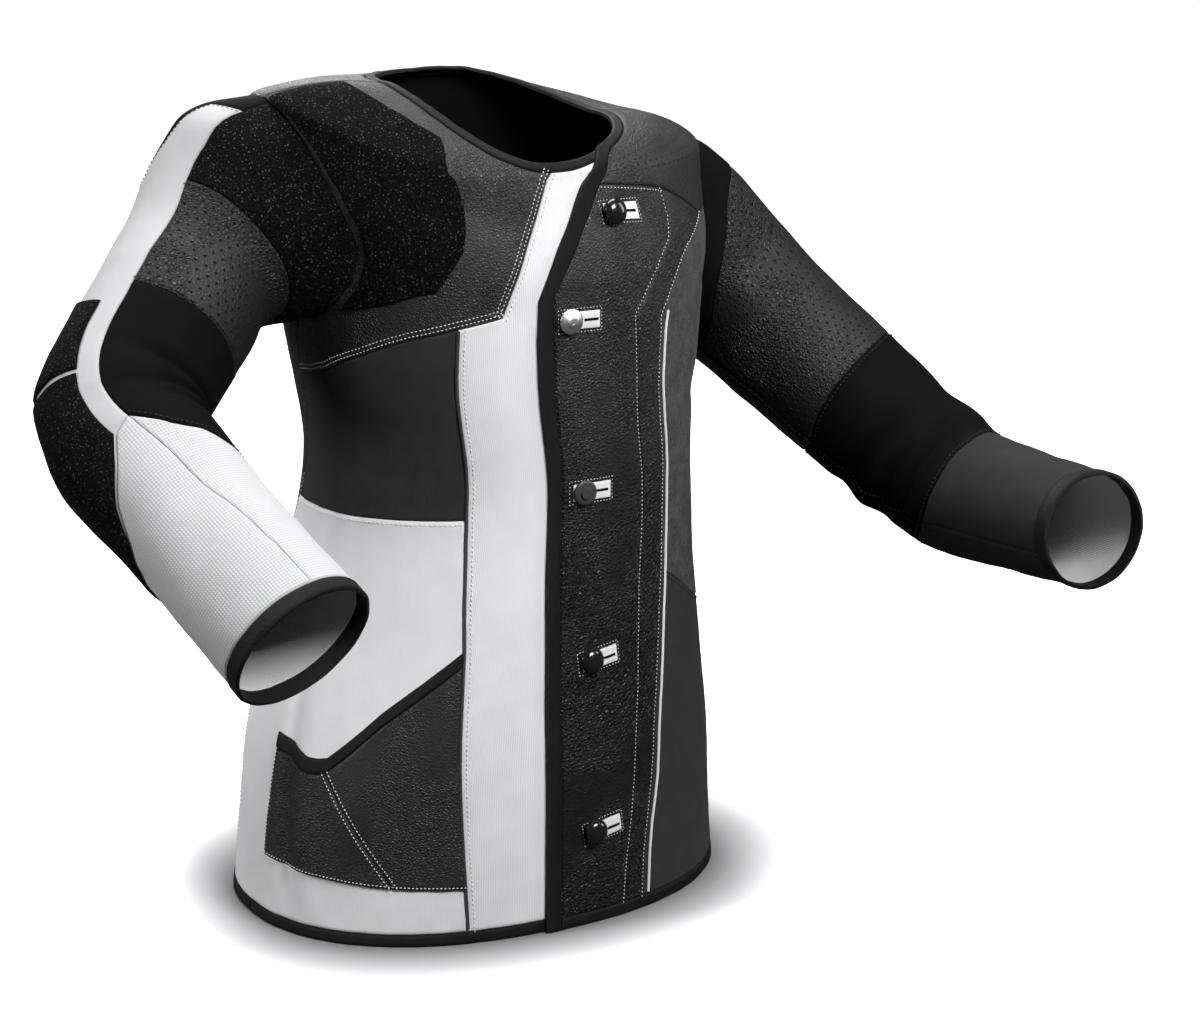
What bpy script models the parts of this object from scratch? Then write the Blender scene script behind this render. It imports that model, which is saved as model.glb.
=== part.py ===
"""A shooting jacket for rifle sport, buttoned and standing on its hem.

It is cut from panels of leather, canvas, fabric and stretch. Every panel is a wall of cloth on one garment
surface that is worked out from sizes. The body is a stack of rings from hem to neck, and each sleeve is a bent
tube that grows out of an armhole. Angles round the body run from the centre front towards the wearer's left.
Heights on the body run from 0 at the hem to 1 at the neck.
"""

import math

import bpy
import numpy as np

# Sizes in metres.
WALL = 0.0025  # thickness of a panel
SEAM_GAP = 0.00034  # space left between neighbouring pieces
BINDING = 0.0032  # thickness of a bound edge
BINDING_LIFT = 0.0008  # how far a binding stands proud of its panel
LAP_LIFT = 0.0036  # how far the left front lies above the right front
LAY = 0.0007  # space between a piece and the panel that it lies on
PATCH = 0.0016  # thickness of a piece that lies on a panel
HEM_BAND = 0.0145  # height of the hem binding, as a fraction of the body
NECK_EDGE = 0.9935  # height of the neck's rim, as a fraction of the body
NECK_BAND = 0.0095  # width of the neck binding
LAP_SEAM = 0.977  # height at which the left front's edge meets the neck binding
UNDERLAP = [(0.27, 0.0), (0.27, 0.860), (0.66, 0.967)]  # edge of the right front, under the left
SIDE = math.pi / 2

# Rings of the body.
BODY_RINGS = [
    # height, half_width, half_depth, centre_x, centre_y, z_front, z_back, z_left, z_right, fullness
    (0.00, 0.196, 0.150, 0.000, 0.000, 0.000, 0.000, 0.000, 0.000, 2.20),
    (0.18, 0.187, 0.143, 0.004, 0.000, 0.120, 0.120, 0.120, 0.120, 2.20),
    (0.36, 0.166, 0.130, 0.015, 0.000, 0.235, 0.240, 0.232, 0.245, 2.20),
    (0.52, 0.153, 0.121, 0.025, 0.000, 0.337, 0.342, 0.328, 0.358, 2.20),
    (0.64, 0.163, 0.121, 0.020, 0.000, 0.415, 0.425, 0.402, 0.452, 2.20),
    (0.76, 0.171, 0.121, 0.019, 0.000, 0.487, 0.502, 0.464, 0.522, 2.15),
    (0.86, 0.181, 0.114, 0.015, 0.000, 0.534, 0.560, 0.512, 0.578, 2.10),
    (0.93, 0.181, 0.104, 0.011, -0.004, 0.562, 0.598, 0.568, 0.624, 2.05),
    (0.97, 0.128, 0.098, 0.016, -0.008, 0.5695, 0.620, 0.595, 0.634, 2.00),
    (1.00, 0.076, 0.086, 0.019, -0.012, 0.577, 0.630, 0.598, 0.628, 2.00),
]

# Armholes: the middle's angle on the body, the reach to the front and back, and the lowest and highest point.
ARMHOLES = {
    "right": {"angle": -SIDE, "front": 0.60, "back": 0.55, "low": 0.655, "top": 0.935},
    "left": {"angle": 1.60, "front": 0.50, "back": 0.55, "low": 0.645, "top": 0.935},
}

# Sleeves: the corners of the line through each, the bend's radius, the head's length and fullness, and the
# turn of its rings.
SLEEVES = {
    "right": {
        "shoulder": (-0.1760, 0.0210, 0.5480),
        "elbow": (-0.3195, -0.0802, 0.4180),
        "wrist": (-0.2629, -0.2698, 0.3000),
        "bend": 0.075,
        "head": 0.085,
        "fullness": 1.9,
        "turn": math.radians(70),
    },
    "left": {
        "shoulder": (0.2151, 0.0016, 0.4655),
        "elbow": (0.3316, -0.1765, 0.3070),
        "wrist": (0.3184, -0.3627, 0.3200),
        "bend": 0.080,
        "head": 0.085,
        "fullness": 0.5,
        "turn": math.radians(90),
    },
}
SLEEVE_RINGS = {
    "right": [
        # fraction, half_out, half_across
        (0.00, 0.0600, 0.0660),
        (0.30, 0.0590, 0.0620),
        (0.55, 0.0560, 0.0560),
        (0.75, 0.0520, 0.0500),
        (1.00, 0.0530, 0.0510),
    ],
    "left": [
        (0.00, 0.0535, 0.0620),
        (0.30, 0.0520, 0.0580),
        (0.55, 0.0530, 0.0530),
        (0.75, 0.0480, 0.0470),
        (1.00, 0.0425, 0.0435),
    ],
}

# Materials: red, green, blue, roughness, metallic.
COLOURS = {
    "canvas": (0.78, 0.78, 0.77, 0.85, 0.0),
    "white_weave": (0.80, 0.80, 0.79, 0.80, 0.0),
    "leather": (0.040, 0.040, 0.041, 0.48, 0.0),
    "perforated": (0.050, 0.050, 0.051, 0.50, 0.0),
    "grip": (0.016, 0.016, 0.016, 0.90, 0.0),
    "fabric": (0.040, 0.040, 0.042, 0.90, 0.0),
    "stretch": (0.008, 0.008, 0.009, 0.72, 0.0),
    "suede": (0.110, 0.110, 0.112, 0.95, 0.0),
    "binding": (0.012, 0.012, 0.012, 0.75, 0.0),
    "piping": (0.090, 0.090, 0.090, 0.60, 0.0),
    "white_trim": (0.75, 0.75, 0.74, 0.60, 0.0),
    "black_gloss": (0.010, 0.010, 0.010, 0.12, 0.0),
    "metal": (0.55, 0.55, 0.55, 0.30, 1.0),
}


def column(rows, index, at):
    """A smooth line through one column of a table, with no overshoot between its rows."""
    x = np.array([row[0] for row in rows])
    y = np.array([row[index] for row in rows])
    step = np.diff(x)
    rise = np.diff(y) / step
    slope = np.zeros(len(x))
    slope[0] = rise[0]
    slope[-1] = rise[-1]
    for i in range(1, len(x) - 1):
        if rise[i - 1] * rise[i] > 0:
            near = 2 * step[i] + step[i - 1]
            far = step[i] + 2 * step[i - 1]
            slope[i] = (near + far) / (near / rise[i - 1] + far / rise[i])
    i = np.clip(np.searchsorted(x, at, side="right") - 1, 0, len(x) - 2)
    t = (at - x[i]) / step[i]
    return (
        (1 + 2 * t) * (1 - t) ** 2 * y[i]
        + t * (1 - t) ** 2 * step[i] * slope[i]
        + t * t * (3 - 2 * t) * y[i + 1]
        - t * t * (1 - t) * step[i] * slope[i + 1]
    )


def unit(a):
    return a / np.linalg.norm(a, axis=-1, keepdims=True)


def power(c, fullness):
    return np.sign(c) * np.abs(c) ** (2.0 / fullness)


def body(angle, height):
    """Points on the body's outer face."""
    angle, height = np.broadcast_arrays(np.asarray(angle, float), np.asarray(height, float))
    values = [column(BODY_RINGS, k, height) for k in range(1, 10)]
    half_width, half_depth, cx, cy, front, back, left, right, fullness = values
    s = np.sin(angle)
    c = np.cos(angle)
    x = cx + half_width * power(s, fullness)
    y = cy - half_depth * power(c, fullness)
    z = front * np.maximum(c, 0) ** 2 + back * np.maximum(-c, 0) ** 2
    z = z + left * np.maximum(s, 0) ** 2 + right * np.maximum(-s, 0) ** 2
    return np.stack([x, y, z], -1)


def armhole_at(side, phi):
    """Angle and height on the body, for phi 0 at the shoulder, a quarter turn at the front, a half below."""
    hole = ARMHOLES[side]
    s = np.sin(phi)
    reach = np.where(s > 0, hole["front"], hole["back"])
    way = 1 if side == "right" else -1
    middle = (hole["low"] + hole["top"]) / 2
    half = (hole["top"] - hole["low"]) / 2
    return hole["angle"] + way * reach * s, middle + half * np.cos(phi)


def centreline(side, fraction):
    """Points, directions, inward normals and the bend's axis on a line, an arc and a line."""
    cut = SLEEVES[side]
    shoulder, elbow, wrist = (np.array(cut[name]) for name in ("shoulder", "elbow", "wrist"))
    upper = unit(elbow - shoulder)
    lower = unit(wrist - elbow)
    turn = math.acos(float(upper @ lower))
    radius = cut["bend"]
    back = radius * math.tan(turn / 2)
    first = np.linalg.norm(elbow - shoulder) - back
    total = first + radius * turn + np.linalg.norm(wrist - elbow) - back
    along = np.asarray(fraction, float) * total
    inward = unit(lower - (lower @ upper) * upper)
    axis = np.cross(upper, inward)
    a = np.clip((along - first) / radius, 0, turn)[..., None]
    before = np.minimum(along, first)[..., None]
    after = np.maximum(along - first - radius * turn, 0)[..., None]
    direction = upper * np.cos(a) + inward * np.sin(a)
    normal = inward * np.cos(a) - upper * np.sin(a)
    point = shoulder + upper * before + radius * (upper * np.sin(a) + inward * (1 - np.cos(a)))
    return point + direction * after, direction, normal, axis, total


def sleeve_ring(side, fraction, phi):
    point, direction, normal, axis, total = centreline(side, fraction)
    out = column(SLEEVE_RINGS[side], 1, fraction)
    across = column(SLEEVE_RINGS[side], 2, fraction)
    turned = phi + SLEEVES[side]["turn"]
    way = 1 if side == "right" else -1
    point = point - normal * (out * np.cos(turned))[..., None]
    return point + axis * (way * across * np.sin(turned))[..., None], direction, total


def armhole_way(side):
    """The direction straight out of an armhole."""
    quarter = body(*armhole_at(side, np.array([0.0, 0.5, 1.0, 1.5]) * math.pi))
    out = unit(np.cross(quarter[0] - quarter[2], quarter[1] - quarter[3]))
    return out if (out[0] > 0) == (side == "left") else -out


def sleeve(side, fraction, phi):
    """Points on a sleeve's outer face, from the armhole at fraction 0 to the cuff at 1."""
    fraction, phi = np.broadcast_arrays(np.asarray(fraction, float), np.asarray(phi, float))
    tube, _, total = sleeve_ring(side, fraction, phi)
    head = SLEEVES[side]["head"] / total
    ring, along, _ = sleeve_ring(side, np.full_like(fraction, head), phi)
    out = armhole_way(side)
    full = SLEEVES[side]["fullness"]
    rim = body(*armhole_at(side, phi)) + out * SEAM_GAP
    reach = np.linalg.norm(ring - rim, axis=-1, keepdims=True)
    t = np.clip(fraction / head, 0, 1)[..., None]
    point = (2 * t**3 - 3 * t**2 + 1) * rim + (t**3 - 2 * t**2 + t) * out * reach * full
    point = point + (3 * t**2 - 2 * t**3) * ring + (t**3 - t**2) * along * reach
    return np.where((fraction < head)[..., None], point, tube)


def normals(surface, a, b, small=1e-3):
    """Outward normals of a surface, from its slopes in both of its numbers."""
    across = surface(a + small, b) - surface(a - small, b)
    along = surface(a, b + small) - surface(a, b - small)
    return unit(np.cross(across, along))


def body_lap(angle, height):
    """The body's face with the left front lifted over the right front, which dies away towards the side."""
    ease = np.clip((1.25 - angle) / 0.75, 0, 1)
    lift = LAP_LIFT * ease * ease * (3 - 2 * ease)
    return body(angle, height) + normals(body, angle, height) * lift[..., None]


def neck_seam(angle):
    """Height of the seam under the neck binding, which is equally wide all round."""
    angle = np.atleast_1d(np.array(angle, float))[:, None]
    heights = np.linspace(NECK_EDGE, 0.94, 40)
    face = body(angle + 0 * heights, heights + 0 * angle)
    steps = np.linalg.norm(np.diff(face, axis=1), axis=-1)
    along = np.concatenate([0 * angle, np.cumsum(steps, axis=1)], axis=1)
    return np.array([np.interp(NECK_BAND, row, heights) for row in along])


def on_neck_seam(places):
    """Places moved up or down onto the neck seam."""
    places = np.array(places, float)
    return np.stack([places[:, 0], neck_seam(places[:, 0])], -1)


def sleeve_face(side):
    """The sleeve as a surface whose normals face out."""
    if side == "right":
        return lambda phi, fraction: sleeve(side, 1 - fraction, phi)
    return lambda phi, fraction: sleeve(side, fraction, phi)


def line(points, count, scale=(0.17, 0.65)):
    """A bent line through points, as count places evenly along it."""
    points = np.array(points, float)
    steps = np.linalg.norm(np.diff(points, axis=0) * scale, axis=1)
    along = np.concatenate([[0], np.cumsum(steps)])
    at = np.linspace(0, along[-1], count)
    return np.stack([np.interp(at, along, points[:, k]) for k in (0, 1)], -1)


def joined(*lines):
    """Lines end to end, with each shared place kept once."""
    parts = [lines[0]] + [part[1:] for part in lines[1:]]
    return np.concatenate(parts)


def fill(bottom, top, left, right):
    """A grid between four sides of a patch, each side a list of places on the surface."""
    s = np.linspace(0, 1, len(bottom))[:, None, None]
    t = np.linspace(0, 1, len(left))[None, :, None]
    ruled = (1 - t) * bottom[:, None] + t * top[:, None] + (1 - s) * left[None] + s * right[None]
    corners = (1 - s) * (1 - t) * bottom[0] + s * (1 - t) * bottom[-1]
    corners = corners + (1 - s) * t * top[0] + s * t * top[-1]
    return ruled - corners


def drawn_in(surface, grid, gap=SEAM_GAP / 2):
    """The same grid with its outer rows moved in by half of the seam gap."""
    grid = grid.copy()
    for axis in (0, 1):
        g = np.moveaxis(grid, axis, 0)
        p = surface(g[..., 0], g[..., 1])
        for edge, inner in ((0, 1), (-1, -2)):
            length = np.linalg.norm(p[inner] - p[edge], axis=-1)[:, None]
            along = p[inner] - p[edge]
            run = p[edge, 1:] - p[edge, :-1]
            run = np.concatenate([run[:1], (run[1:] + run[:-1]) / 2, run[-1:]])
            run = unit(run)
            square = along - (along * run).sum(-1, keepdims=True) * run
            lean = np.maximum(np.linalg.norm(square, axis=-1)[:, None] / length, 0.35)
            g[edge] = g[edge] + (g[inner] - g[edge]) * gap / (length * lean)
    return grid


materials = {}


def material(name):
    if name not in materials:
        red, green, blue, roughness, metallic = COLOURS[name]
        made = bpy.data.materials.new(name)
        made.use_nodes = True
        shader = made.node_tree.nodes["Principled BSDF"]
        shader.inputs["Base Color"].default_value = (red, green, blue, 1)
        shader.inputs["Roughness"].default_value = roughness
        shader.inputs["Metallic"].default_value = metallic
        made.diffuse_color = (red, green, blue, 1)
        materials[name] = made
    return materials[name]


def add(name, points, faces, colour, smooth=True):
    mesh = bpy.data.meshes.new(name)
    mesh.from_pydata([tuple(p) for p in points], [], [tuple(int(i) for i in f) for f in faces])
    mesh.update()
    mesh.materials.append(material(colour))
    for polygon in mesh.polygons:
        polygon.use_smooth = smooth
    made = bpy.data.objects.new(name, mesh)
    bpy.context.scene.collection.objects.link(made)
    return made


def shell(outer, inner, closed=False):
    """Points and faces of a closed wall between two grids. A closed one runs round and meets itself."""
    m, n = outer.shape[:2]
    points = np.concatenate([outer.reshape(-1, 3), inner.reshape(-1, 3)])
    faces = []
    rounds = m if closed else m - 1
    for i in range(rounds):
        k = (i + 1) % m
        for j in range(n - 1):
            a, b, c, d = i * n + j, k * n + j, k * n + j + 1, i * n + j + 1
            faces += [(a, b, c), (a, c, d)]
            faces += [(m * n + c, m * n + b, m * n + a), (m * n + d, m * n + c, m * n + a)]
        a, b = i * n, k * n
        faces.append((b, a, m * n + a, m * n + b))
        a, b = i * n + n - 1, k * n + n - 1
        faces.append((a, b, m * n + b, m * n + a))
    if not closed:
        for j in range(n - 1):
            a, b = j, j + 1
            faces.append((a, b, m * n + b, m * n + a))
            a, b = (m - 1) * n + j, (m - 1) * n + j + 1
            faces.append((b, a, m * n + a, m * n + b))
    return points, faces


def wall(name, colour, surface, grid, thick=WALL, lift=0.0, closed=False, gap=SEAM_GAP / 2, flat_hem=False):
    """A panel: the surface's face over the grid, lifted, and a second face the wall's thickness below it."""
    if not closed:
        grid = drawn_in(surface, grid, gap)
    face = surface(grid[..., 0], grid[..., 1])
    out = normals(surface, grid[..., 0], grid[..., 1])
    outer = face + out * lift
    inner = face + out * (lift - thick)
    if flat_hem:
        outer[:, 0, 2] = 0.0
        inner[:, 0, 2] = 0.0
    points, faces = shell(outer, inner, closed)
    return add(name, points, faces, colour)


def cord(name, colour, surface, places, half, tall, lift):
    """A raised cord along a line on a surface, with a rounded top of three faces."""
    p = surface(places[:, 0], places[:, 1])
    out = normals(surface, places[:, 0], places[:, 1])
    run = np.gradient(p, axis=0)
    side = unit(np.cross(run, out))
    profile = [(-1.0, 0.0), (-0.8, 0.7), (0.0, 1.0), (0.8, 0.7), (1.0, 0.0)]
    rows = [p + side * half * x + out * (lift + tall * z) for x, z in profile]
    points = np.concatenate(rows)
    n = len(places)
    k = len(profile)
    faces = []
    for r in range(k):
        q = (r + 1) % k
        for j in range(n - 1):
            faces.append((r * n + j, q * n + j, q * n + j + 1, r * n + j + 1))
    faces.append([r * n for r in reversed(range(k))])
    faces.append([r * n + n - 1 for r in range(k)])
    return add(name, points, faces, colour)


def outline_block(surface, centre, lean, half_along, half_up, parts):
    """A grid of places for a small patch that is wider than tall, turned by lean on the surface."""
    angle, height = centre
    across = np.linalg.norm(surface(angle + 0.01, height) - surface(angle - 0.01, height)) / 0.02
    upward = np.linalg.norm(surface(angle, height + 0.01) - surface(angle, height - 0.01)) / 0.02
    u = np.linspace(-half_along, half_along, parts[0])[:, None]
    w = np.linspace(-half_up, half_up, parts[1])[None]
    x = u * math.cos(lean) - w * math.sin(lean)
    y = u * math.sin(lean) + w * math.cos(lean)
    return np.stack([angle + x / across, height + y / upward], -1)


for item in list(bpy.data.objects):
    bpy.data.objects.remove(item)

# Places of the seams on the body: angle and height. Lines that two panels share are used by both.
PIPING_TOP = (-0.490, 0.701)
YOKE_CORNER = (-0.280, 0.721)

# Sleeve columns: angles round each sleeve, in degrees, shared by the armhole edges of the body's panels.
RIGHT_COLUMNS = [-108 + 100 / 6 * k for k in range(7)] + [8 + 244 / 13 * k for k in range(14)]
LEFT_COLUMNS = [-36 + 18 * k for k in range(21)]
RIGHT_TOP = 7
RIGHT_UNDER = 16
LEFT_TOP = 2
LEFT_UNDER = 12


def armhole_line(side, columns):
    return np.stack(armhole_at(side, np.radians(np.array(columns, float))), -1)


right_front_hole = armhole_line("right", RIGHT_COLUMNS[RIGHT_TOP : RIGHT_UNDER + 1])[::-1]
right_back_hole = armhole_line(
    "right", RIGHT_COLUMNS[RIGHT_UNDER:-1] + [c + 360 for c in RIGHT_COLUMNS[: RIGHT_TOP + 1]]
)
left_front_hole = armhole_line("left", LEFT_COLUMNS[LEFT_TOP : LEFT_UNDER + 1])[::-1]
left_back_hole = armhole_line(
    "left", LEFT_COLUMNS[LEFT_UNDER:-1] + [c + 360 for c in LEFT_COLUMNS[: LEFT_TOP + 1]]
)


# Lines of seams on the body.
def between(points, low, high, count, scale=(0.17, 0.65)):
    """The part of a bent line between two heights, as count places."""
    points = np.array(points, float)
    inside = points[(points[:, 1] > low + 1e-6) & (points[:, 1] < high - 1e-6)]
    ends = [(np.interp(h, points[:, 1], points[:, 0]), h) for h in (low, high)]
    return line([ends[0], *inside, ends[1]], count, scale)


def line_at(points, heights):
    """Places on a bent line at the given heights."""
    return np.stack([np.interp(heights, [h for _, h in points], [a for a, _ in points]), heights], -1)


def between_angles(points, start, end, count):
    """The part of a bent line between two angles, as count places."""
    flipped = between([(h, a) for a, h in points], start, end, count, scale=(0.65, 0.17))
    return flipped[:, ::-1]


PIPING = [(-0.376, 0.0), (-0.470, 0.341), (-0.535, 0.483), (-0.530, 0.600), (-0.490, 0.701)]
RIGHT_SIDE_SEAM = [(-1.571, 0.0), (-1.539, 0.6552)]
RIGHT_BACK_SEAM = [(a + 2 * math.pi, h) for a, h in RIGHT_SIDE_SEAM]
LEFT_SIDE_SEAM = [(1.600, 0.0), (1.600, 0.645)]
YOKE_SEAM = [(-1.542, 0.592), (-1.383, 0.601), (-1.047, 0.635), (-0.771, 0.671), (-0.490, 0.701)]
CANVAS_TOP = [(-1.549, 0.460), (-1.370, 0.463), (-1.190, 0.466), (-0.920, 0.473), (-0.535, 0.483)]
YOKE_FRONT = [
    (-0.280, 0.721), (-0.170, 0.800), (-0.064, 0.880), (-0.015, 0.920), (-0.005, 0.940), (-0.016, 0.967),
]
GRIP_CORNER = (-0.600, 0.690)
GRIP_LEAD_IN = [GRIP_CORNER, (-0.600, 0.708), (-0.598, 0.727)]
GRIP_FRONT = [
    (-0.583, 0.745), (-0.497, 0.778), (-0.425, 0.810), (-0.394, 0.840), (-0.384, 0.868), (-0.385, 0.895),
    (-0.400, 0.921), (-0.455, 0.942), (-0.555, 0.958), (-0.690, 0.972), (-0.853, 0.983),
]
LAP_OUTER = [
    (-0.078, 0.0), (-0.075, 0.2), (-0.125, 0.45), (-0.135, 0.735), (-0.020, 0.820), (0.100, 0.900),
    (0.187, 0.948), (0.268, 0.970), (0.367, 0.985), (0.490, NECK_EDGE),
]
LAP_INNER = [
    (-0.026, 0.0), (-0.022, 0.2), (-0.066, 0.45), (-0.066, 0.745), (0.094, 0.850), (0.186, 0.900),
    (0.278, 0.948), (0.369, 0.970), (0.513, 0.985), (0.739, NECK_EDGE),
]
BAND_EDGE = [
    (0.225, 0.0), (0.254, 0.08), (0.289, 0.13), (0.323, 0.255), (0.349, 0.385), (0.375, 0.49),
    (0.340, 0.597), (0.323, 0.717), (0.582, 0.836), (0.556, 0.900),
]
STRIP_EDGE = [
    (0.320, 0.0), (0.349, 0.09), (0.392, 0.144), (0.426, 0.232), (0.470, 0.315), (0.513, 0.400),
    (0.530, 0.461), (0.530, 0.537), (0.487, 0.637), (0.495, 0.713), (0.676, 0.804), (0.918, 0.864),
]
SUEDE_LOW = [(0.513, 0.400), (0.668, 0.379), (0.771, 0.365), (0.943, 0.343), (1.600, 0.310)]
YOKE_BACK_LOW = [(2.1231, 0.7452), (math.pi, 0.775), (4.1623, 0.7918)]
NECK_RIGHT, NECK_LEFT = on_neck_seam([(-1.487, 0), (1.600, 0)])
YOKE_FRONT[-1] = on_neck_seam(YOKE_FRONT[-1:])[0]
GRIP_FRONT[-1] = on_neck_seam(GRIP_FRONT[-1:])[0]

piping_low = between(PIPING, HEM_BAND, 0.483, 10)
hem_right = line([(-1.571, HEM_BAND), piping_low[0]], 9)
side_right = between(RIGHT_SIDE_SEAM, HEM_BAND, 0.460, 10)
canvas_top = line(CANVAS_TOP, 9)
wall("right_front_canvas", "canvas", body, fill(hem_right, canvas_top, side_right, piping_low))

side_chest = between(RIGHT_SIDE_SEAM, 0.460, 0.592, 5)
piping_mid = between(PIPING, 0.483, 0.701, 5)
yoke_seam = np.concatenate(
    [YOKE_SEAM[:1], between_angles(YOKE_SEAM, -1.470, GRIP_CORNER[0], 7), [PIPING_TOP]]
)
wall("right_chest_fabric", "fabric", body, fill(canvas_top, yoke_seam, side_chest, piping_mid))

# The yoke is made in three blocks, so that the grip patch can take its points.
yoke_low = joined(yoke_seam, line([PIPING_TOP, YOKE_CORNER], 3))
yoke_left = joined(
    np.array([YOKE_SEAM[0], right_front_hole[0]]),
    right_front_hole,
    line([right_front_hole[-1], NECK_RIGHT], 4),
)
yoke_right = line(YOKE_FRONT, len(yoke_left))
sliver = yoke_left + [0.055, 0.0]
sliver[0] = yoke_low[1]
sliver[1] = (-1.440, 0.642)
sliver[2] = (-1.270, 0.660)
sliver[-1] = on_neck_seam(sliver[-1:])[0]
grip_front = np.array(GRIP_LEAD_IN + GRIP_FRONT)
neck_right = line([NECK_RIGHT, YOKE_FRONT[-1]], len(yoke_low))
neck_right[1] = sliver[-1]
neck_right[2:7] = line([sliver[-1], grip_front[-1]], 7)[1:6]
neck_right[7] = grip_front[-1]
neck_right[8:10] = line([grip_front[-1], (-0.33, 0.980), YOKE_FRONT[-1]], 4, scale=(0.17, 0.0))[1:3]
neck_right = on_neck_seam(neck_right)
blocks = [(0, 2, yoke_left, sliver), (1, 8, sliver, grip_front), (7, 11, grip_front, yoke_right)]
yoke_parts = [fill(yoke_low[i:k], neck_right[i:k], one, two) for i, k, one, two in blocks]
yoke_grid = np.concatenate([yoke_parts[0][:1], yoke_parts[1][:-1], yoke_parts[2]])
wall("right_yoke", "leather", body, yoke_grid)
grip_grid = yoke_grid[1:8, 3:13]
wall("right_shoulder_grip", "grip", body, grip_grid, thick=PATCH, lift=LAY + PATCH, gap=0.0004)

placket_left = joined(piping_low, piping_mid, line([PIPING_TOP, YOKE_CORNER], 3), yoke_right)
placket_right = line_at(UNDERLAP, placket_left[:, 1])
placket_right[-1] = on_neck_seam(placket_right[-1:])[0]
placket_low = line([placket_left[0], placket_right[0]], 6)
placket_top = on_neck_seam(line([placket_left[-1], placket_right[-1]], 6))
wall("right_placket", "canvas", body, fill(placket_low, placket_top, placket_left, placket_right))

cord("right_piping", "piping", body, between(PIPING, 0.018, 0.700, 18), 0.0022, 0.0020, 0.0009)

# The pocket lies on the right front: two panels and a bound edge above them.
POCKET_RIM = [
    (-1.430, 0.224), (-1.340, 0.220), (-1.200, 0.2085), (-1.100, 0.2080), (-1.056, 0.216),
    (-0.961, 0.234), (-0.823, 0.267), (-0.711, 0.289), (-0.599, 0.311), (-0.485, 0.334),
]
POCKET_BAND = 0.031
pocket_seam = [(-0.700, 0.068), (-1.080, 0.178)]
rim_low = [(a, h - POCKET_BAND) for a, h in POCKET_RIM]
rim_side = [p for p in rim_low if p[0] < -1.081] + [(-1.080, 0.178)]
rim_front = [(-1.080, 0.178)] + [p for p in rim_low if p[0] > -1.079]
on_panel = {"thick": PATCH, "lift": LAY + PATCH}
diagonal = line(pocket_seam, 6)
rim = joined(line(rim_side, 7), line(rim_front, 8))
wall(
    "pocket_side", "leather", body,
    fill(line([(-1.463, 0.080), (-0.700, 0.068)], 7), line(rim_side, 7),
         line([(-1.463, 0.080), (-1.430, 0.193)], 6), diagonal),
    **on_panel,
)
wall(
    "pocket_front", "leather", body,
    fill(line([(-0.700, 0.068), (-0.412, 0.064)], 8), line(rim_front, 8),
         diagonal, line([(-0.412, 0.064), (-0.485, 0.303)], 6)),
    **on_panel,
)
wall(
    "pocket_binding", "binding", body,
    np.stack([rim, rim + [0.0, POCKET_BAND]], 1),
    thick=PATCH + 0.0006, lift=LAY + PATCH + 0.0006,
)

# The left front lies over the right one.
inner_rows = joined(
    between(LAP_INNER, 0.0, HEM_BAND, 2),
    between(LAP_INNER, HEM_BAND, 0.745, 15),
    between(LAP_INNER, 0.745, 0.916, 6),
    between(LAP_INNER, 0.916, LAP_SEAM, 8),
    between(LAP_INNER, LAP_SEAM, NECK_EDGE, 3),
)
outer_rows = line_at(LAP_OUTER, inner_rows[:, 1])
wall(
    "left_edge_binding", "binding", body_lap,
    fill(line([outer_rows[0], inner_rows[0]], 3), line([outer_rows[-1], inner_rows[-1]], 3),
         outer_rows, inner_rows),
    thick=BINDING, lift=BINDING_LIFT, flat_hem=True,
)

band_left = inner_rows[1:21]
band_right = joined(between(BAND_EDGE, HEM_BAND, 0.717, 15), between(BAND_EDGE, 0.717, 0.900, 6))
band_low = line([band_left[0], band_right[0]], 4)
band_top = line([band_left[-1], band_right[-1]], 4)
wall("left_front_leather", "leather", body_lap, fill(band_low, band_top, band_left, band_right))

strip_right = joined(
    between(STRIP_EDGE, HEM_BAND, 0.400, 8),
    between(STRIP_EDGE, 0.400, 0.713, 8),
    between(STRIP_EDGE, 0.713, 0.864, 6),
)
strip_low = line([band_right[0], strip_right[0]], 2)
strip_top = line([band_right[-1], strip_right[-1]], 2)
wall("left_front_strip", "leather", body_lap, fill(strip_low, strip_top, band_right, strip_right))

side_low_left = strip_right[:8]
side_low_right = between(LEFT_SIDE_SEAM, HEM_BAND, 0.310, 8)
hem_side = line([side_low_left[0], side_low_right[0]], 9)
suede_low = line(SUEDE_LOW, 9)
wall("left_side_fabric", "fabric", body_lap, fill(hem_side, suede_low, side_low_left, side_low_right))

suede_left = strip_right[7:]
suede_right = joined(between(LEFT_SIDE_SEAM, 0.310, 0.645, 6), left_front_hole[:8])
suede_top = line([suede_left[-1], suede_right[-1]], 9)
wall("left_side_suede", "suede", body_lap, fill(suede_low, suede_top, suede_left, suede_right))

shoulder_low = joined(band_top, strip_top, suede_top)
shoulder_left = inner_rows[20:28]
shoulder_right = joined(left_front_hole[7:], line([left_front_hole[-1], NECK_LEFT], 5))
neck_left = on_neck_seam(line([shoulder_left[-1], shoulder_right[-1]], len(shoulder_low)))
neck_left[0] = shoulder_left[-1]
wall(
    "left_shoulder_leather", "perforated", body_lap,
    fill(shoulder_low, neck_left, shoulder_left, shoulder_right),
)
piping_places = between([(a + 0.022, h) for a, h in STRIP_EDGE], 0.018, 0.720, 26)
cord("left_piping", "white_trim", body_lap, piping_places, 0.0017, 0.0018, 0.0009)

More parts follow.
